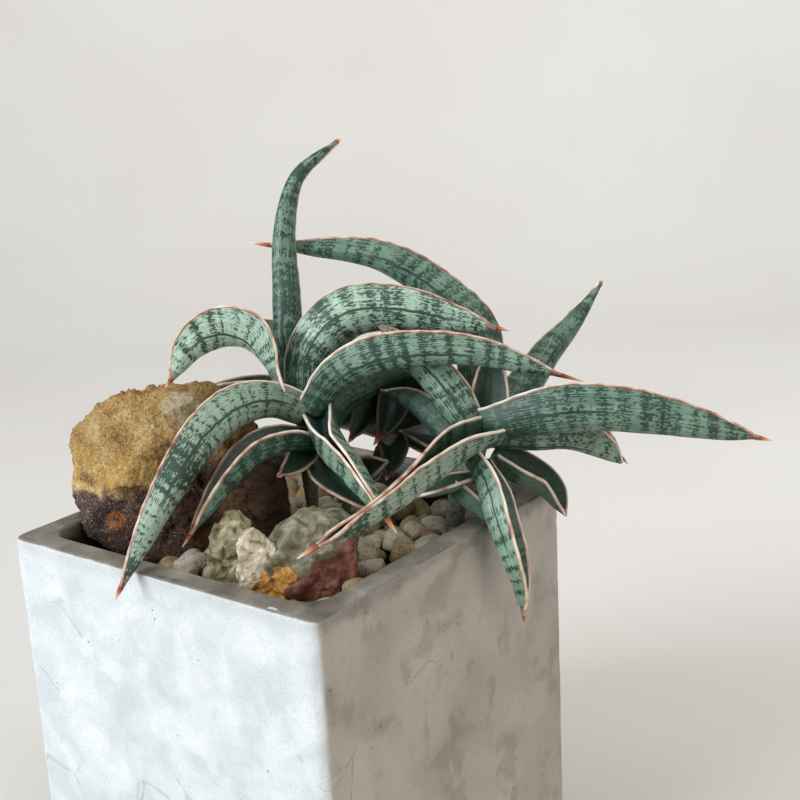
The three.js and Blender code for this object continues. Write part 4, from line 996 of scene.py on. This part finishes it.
def pot_profile():
    """Half side, corner radius and height of each ring, from the underside round to the pocket's floor."""
    rings = [(0.5, 0.1, 0.0)]
    rings += [(half, min(half * 0.2, POT_CORNER), 0.0) for half in (20, 40, POT_HALF - 6)]
    for a in np.linspace(0, math.pi / 2, 6):
        inset = POT_EDGE * (1 - math.sin(a))
        rings.append((POT_HALF - inset, POT_CORNER - inset, POT_EDGE * (1 - math.cos(a))))
    for z in np.linspace(POT_EDGE, POT_HEIGHT - POT_EDGE, 80)[1:-1]:
        rings.append((POT_HALF, POT_CORNER, z))
    for a in np.linspace(0, math.pi / 2, 7):
        inset = POT_EDGE * (1 - math.cos(a))
        rings.append((POT_HALF - inset, POT_CORNER - inset, POT_HEIGHT - POT_EDGE * (1 - math.sin(a))))
    flat = POT_WALL - POT_EDGE - POCKET_EDGE
    for i in range(1, 5):
        inset = POT_EDGE + flat * i / 5
        share = (inset - POT_EDGE) / flat
        corner = POT_CORNER - POT_EDGE + (POCKET_CORNER + POCKET_EDGE - POT_CORNER + POT_EDGE) * share
        rings.append((POT_HALF - inset, corner, POT_HEIGHT))
    for a in np.linspace(0, math.pi / 2, 6):
        out = POCKET_EDGE * (1 - math.sin(a))
        rings.append((POCKET_HALF + out, POCKET_CORNER + out, POT_HEIGHT - POCKET_EDGE * (1 - math.cos(a))))
    for z in np.linspace(POT_HEIGHT - POCKET_EDGE, POT_FLOOR, 40)[1:]:
        rings.append((POCKET_HALF, POCKET_CORNER, z))
    rings += [(half, min(half * 0.2, POCKET_CORNER), POT_FLOOR) for half in (44, 20, 0.5)]
    return rings


def drill_drains(pot):
    """Cuts the four drain holes through the pot's floor."""
    shape = bmesh.new()
    for hand_x in (-0.5, 0.5):
        for hand_y in (-0.5, 0.5):
            place = Vector((hand_x * DRAIN_PITCH, hand_y * DRAIN_PITCH, POT_FLOOR / 2)) * MM
            bmesh.ops.create_cone(shape, cap_ends=True, segments=64, radius1=DRAIN_RADIUS * MM,
                                  radius2=DRAIN_RADIUS * MM, depth=2 * POT_FLOOR * MM,
                                  matrix=Matrix.Translation(place))
    mesh = bpy.data.meshes.new("drains")
    shape.to_mesh(mesh)
    shape.free()
    drains = bpy.data.objects.new("drains", mesh)
    bpy.context.scene.collection.objects.link(drains)
    cut = pot.modifiers.new("drains", "BOOLEAN")
    cut.object = drains
    cut.solver = "EXACT"
    cut.operation = "DIFFERENCE"
    drilled = pot.evaluated_get(bpy.context.evaluated_depsgraph_get())
    pot.data = bpy.data.meshes.new_from_object(drilled)
    pot.modifiers.clear()
    bpy.data.objects.remove(drains)


def make_pot():
    profile = pot_profile()
    rows = [square_ring(half, corner) for half, corner, _ in profile]
    around = len(rows[0][0])
    points = []
    for (ring, outs), (half, _, height) in zip(rows, profile):
        for (x, y), (ox, oy) in zip(ring, outs):
            spot = Vector((x, y, height))
            wear = 0.0
            if 0 < height < POT_HEIGHT and half > POCKET_HALF + POCKET_EDGE + 0.01:
                wear = 0.14 * (noise.fractal(spot / 14, 1.0, 2.0, 3) + 0.6)
                near_top = math.exp(-(((POT_HEIGHT - height) / 2.2) ** 2))
                on_corner = abs(ox * oy) * 2
                chip = max(noise.noise(spot / 2.6) + 0.35 * noise.noise(spot / 0.9) - 0.16, 0)
                wear += (near_top * 0.9 + on_corner * 0.35) * chip
            drop = 0.0
            if height == POT_HEIGHT:
                drop = 0.12 * (noise.fractal(spot / 5, 1.0, 2.0, 3) + 0.8)
            elif half <= POCKET_HALF + POCKET_EDGE and height > POT_FLOOR:
                wear = 0.2 * noise.noise(spot / 6)
            points.append((x - ox * max(wear, 0), y - oy * max(wear, 0), height - max(drop, 0)))
    pot = mesh_object("pot_cast_shell", points, tube_faces(len(rows), around), ["pot"])
    drill_drains(pot)
    return pot


def cast_concrete():
    """Cast fair-faced concrete: grey cement with cloudy damp marks, a chalky white bloom on the front
    left face that is also painted light from the left, a pocket darkened by dirt and painted shade, small air
    holes, hairline cracks and a taupe rubbed rim. Matt, with a fine sandy tooth."""
    material, put, wire = new_finish("concrete_cast_fair_faced", IOR=1.5)
    spot = in_mm(put)
    x, y, z = put("SeparateXYZ", spot).node.outputs
    nx, ny, nz = put("SeparateXYZ", put("NewGeometry", out="Normal")).node.outputs
    broad = put("TexNoise", {"Vector": spot, "Scale": 1 / 34, "Detail": 5, "Distortion": 0.8})
    patchy = put("TexNoise", {"Vector": spot, "Scale": 1 / 11, "Detail": 5, "Distortion": 0.5})
    sand = put("TexNoise", {"Vector": spot, "Scale": 1 / 0.8, "Detail": 3, "Roughness": 0.7})
    upright = put("VectorMath", spot, (1, 1, 0.28), operation="MULTIPLY")
    rubbed = put("TexNoise", {"Vector": upright, "Scale": 1 / 7, "Detail": 4, "Distortion": 0.3})
    body = put("ValToRGB", broad, stops=[(0.3, "#A69E93"), (0.5, "#B7AFA4"), (0.7, "#C1BAAF")])
    # Damp blotches and vertical rubs
    blotch = put("MapRange", put("MULTIPLY_ADD", rubbed, 0.5, patchy), 0.76, 0.94, 0.0, 0.36)
    body = put("Mix", blotch, body, linear("#7D776E"))
    # Chalky bloom on the front left face, partly painted light: the faces turned to the left are made whiter
    # and cooler, as the window light falls on them
    chalk_and_painted_light = put("ValToRGB", patchy, stops=[(0.35, "#CFD6D8"), (0.55, "#DEE4E5"), (0.7, "#E9EDEE")])
    lit_left_faces = put("MapRange", ny, -0.75, -0.35, 1.0, 0.0)
    bloom = put("MULTIPLY", lit_left_faces, put("MapRange", broad, 0.28, 0.42, 0.86, 1.0))
    colour = put("Mix", bloom, body, chalk_and_painted_light)
    # Taupe rim, rubbed dark, and a darker band just below it
    rim = put("ValToRGB", patchy, stops=[(0.35, "#686259"), (0.6, "#8A847A"), (0.75, "#A09A90")])
    on_top = put("MULTIPLY", put("MapRange", nz, 0.55, 0.8),
                 put("MapRange", z, POT_HEIGHT - 4, POT_HEIGHT - 1.5))
    colour = put("Mix", on_top, colour, rim)
    level = put("ADD", z, put("MULTIPLY", put("SUBTRACT", patchy, 0.5), 8))
    under_rim = put("MapRange", level, POT_HEIGHT - 6, POT_HEIGHT - 1.5)
    under_rim = put("MULTIPLY", under_rim, put("SUBTRACT", 0.45, put("MULTIPLY", lit_left_faces, 0.3)))
    under_rim = put("MULTIPLY", under_rim, put("SUBTRACT", 1.0, on_top))
    colour = put("Mix", under_rim, colour, linear("#6B6760"))
    # Pocket walls darkened below the rim: partly dirt, partly painted shade in the recess
    off_axis = put("MAXIMUM", put("ABSOLUTE", x), put("ABSOLUTE", y))
    inside = put("MapRange", off_axis, POCKET_HALF + 0.3, POCKET_HALF + 1.0, 1.0, 0.0)
    depth = put("ADD", z, put("MULTIPLY", patchy, 10))
    dirt_and_shade = put("MULTIPLY", inside, put("MapRange", depth, POT_HEIGHT, POT_HEIGHT + 5, 1.0, 0.25))
    colour = put("Mix", dirt_and_shade, colour, linear("#2F2A23"))
    # Air holes of 0.4 to 1 mm, drawn a little larger than life
    holes = put("TexVoronoi", {"Vector": spot, "Scale": 1 / 5.5}, out="Distance")
    hole = put("MULTIPLY", put("MapRange", holes, 0.05, 0.085, 1.0, 0.0), put("MapRange", patchy, 0.5, 0.56))
    # Hairline cracks and scratches
    crack = put("TexVoronoi", {"Vector": spot, "Scale": 1 / 26}, feature="DISTANCE_TO_EDGE")
    crack = put("ADD", crack, put("MULTIPLY", put("SUBTRACT", patchy, 0.5), 0.16))
    crack = put("MULTIPLY", put("MapRange", put("ABSOLUTE", crack), 0.003, 0.009, 1.0, 0.0),
                put("MapRange", broad, 0.52, 0.6))
    marks = put("MAXIMUM", put("MULTIPLY", hole, 0.7), put("MULTIPLY", crack, 0.3))
    colour = put("Mix", marks, colour, linear("#57544E"))
    speck = put("Mix", put("MapRange", sand, 0.35, 0.65), linear("#9C968C"), linear("#FFFFFF"))
    colour = put("Mix", 0.16, colour, speck, blend_type="MULTIPLY")
    relief = put("ADD", put("MULTIPLY", sand, 0.25), put("MULTIPLY", patchy, 0.4))
    bump = put("Bump", {"Height": put("SUBTRACT", relief, marks), "Strength": 0.45, "Distance": 0.35 * MM})
    wire(Base_Color=colour, Roughness=put("MapRange", patchy, 0.35, 0.65, 0.7, 0.88), Normal=bump)
    return material


# Studio


def studio_card():
    """Matt painted card: plain and pale, with a faint tooth."""
    material, put, wire = new_finish("card_matt_painted", Roughness=0.9)
    place = put("TexCoord", out="Object")
    tooth = put("TexNoise", {"Vector": place, "Scale": 4.0, "Detail": 2.0})
    wire(Base_Color=put("ValToRGB", tooth, stops=[(0.3, "#DEDBD6"), (0.7, "#E3E1DD")]))
    return material


def make_backdrop():
    """A floor that curves up into a wall behind the pot, square to the camera."""
    heading = math.radians(CAMERA_HEADING)
    across = np.array([math.cos(heading), math.sin(heading), 0])
    away = np.array([-math.sin(heading), math.cos(heading), 0])
    floor_back, wall_radius, wall_top, half_width = 700, 500, 2600, 2600
    line = [(-1500, 0)]
    line += [(floor_back + wall_radius * math.sin(a), wall_radius * (1 - math.cos(a)))
             for a in np.linspace(0, math.pi / 2, 24)]
    line.append((floor_back + wall_radius, wall_top))
    points = []
    for distance, height in line:
        for hand in (-1, 1):
            points.append(away * distance + across * hand * half_width + np.array([0, 0, height]))
    faces = [(2 * i, 2 * i + 1, 2 * i + 3, 2 * i + 2) for i in range(len(line) - 1)]
    card = mesh_object("studio_card", points, faces, None)
    card.data.materials.append(studio_card())


def add_light(name, place, target, size, power, colour):
    data = bpy.data.lights.new(name, "AREA")
    data.size = size
    data.energy = power
    data.color = linear(colour)[:3]
    lamp = bpy.data.objects.new(name, data)
    lamp.location = Vector(place)
    lamp.rotation_euler = (Vector(target) - Vector(place)).to_track_quat("-Z", "Y").to_euler()
    bpy.context.scene.collection.objects.link(lamp)


def light_studio():
    """A bright window at the front left, a weak one at the right, and soft light on the wall behind."""
    world = bpy.data.worlds.new("studio_air")
    world.use_nodes = True
    air = world.node_tree.nodes["Background"]
    air.inputs["Color"].default_value = linear("#EFF1F2")
    air.inputs["Strength"].default_value = 0.13
    bpy.context.scene.world = world
    # Place, target, size, watts and colour, in metres
    add_light("window_left", (-0.55, -1.2, 0.75), (0, 0, 0.12), 0.9, 22, "#F4F9FF")
    add_light("fill_above", (0.3, -0.1, 1.4), (0, 0, 0.1), 1.0, 4, "#FFFFFF")
    add_light("window_right", (1.3, -0.35, 0.5), (0, 0, 0.1), 1.0, 6, "#FFF6EC")
    add_light("wall_wash", (0.1, 0.3, 0.95), (-0.45, 1.15, 0.3), 0.9, 4.2, "#FBF1E4")
    add_light("wall_right", (0.75, 0.5, 0.6), (0.15, 1.45, 0.2), 0.6, 4.6, "#DCEBFF")


make_camera()
blade_skin = sansevieria_blade()
for number, (name, leaf) in enumerate(LEAVES.items()):
    make_blade(name, leaf, number).data.materials.append(blade_skin)
bark = stem_bark()
for name, points in STEMS.items():
    make_stem(name, points).data.materials.append(bark)
make_stone("ironstone_rock", ROCK, ["rock_large"]).data.materials.append(ironstone())
stone_looks = {
    "stone_front_left": field_stone(
        "field_stone_cream_speckled",
        [(0.32, "#575039"), (0.46, "#A79C76"), (0.66, "#DAD2B4")],
        [(0.3, "#7A6E58"), (0.7, "#CFC6AE")], (0, 0, -1), -100),
    "stone_front_middle": field_stone(
        "field_stone_cream_orange",
        [(0.34, "#5C5040"), (0.46, "#B5A88A"), (0.66, "#E6DEC8")],
        [(0.3, "#8A5A22"), (0.5, "#C98E3E"), (0.7, "#E0B878")], (0.5, 0.4, -0.8), -94),
    "stone_front_right": field_stone(
        "field_stone_green_red",
        [(0.3, "#4F4632"), (0.5, "#7C785F"), (0.7, "#A3A28E")],
        [(0.3, "#3E1F1A"), (0.5, "#6B3A2C"), (0.7, "#8E6450")], (0.7, 0, -0.7), -54),
}
for name, stone in STONES.items():
    make_stone(name + "_weathered", stone, [name]).data.materials.append(stone_looks[name])
pebble_finish = washed_pebbles()
make_pebbles("pebbles_upper", 175, (2.9, 4.9), 0.6, 7).data.materials.append(pebble_finish)
make_pebbles("pebbles_lower", 240, (2.2, 3.6), -2.8, 8).data.materials.append(pebble_finish)
make_soil().data.materials.append(potting_mix())
make_pot().data.materials.append(cast_concrete())
make_backdrop()
light_studio()
bpy.context.scene.view_settings.view_transform = "Standard"
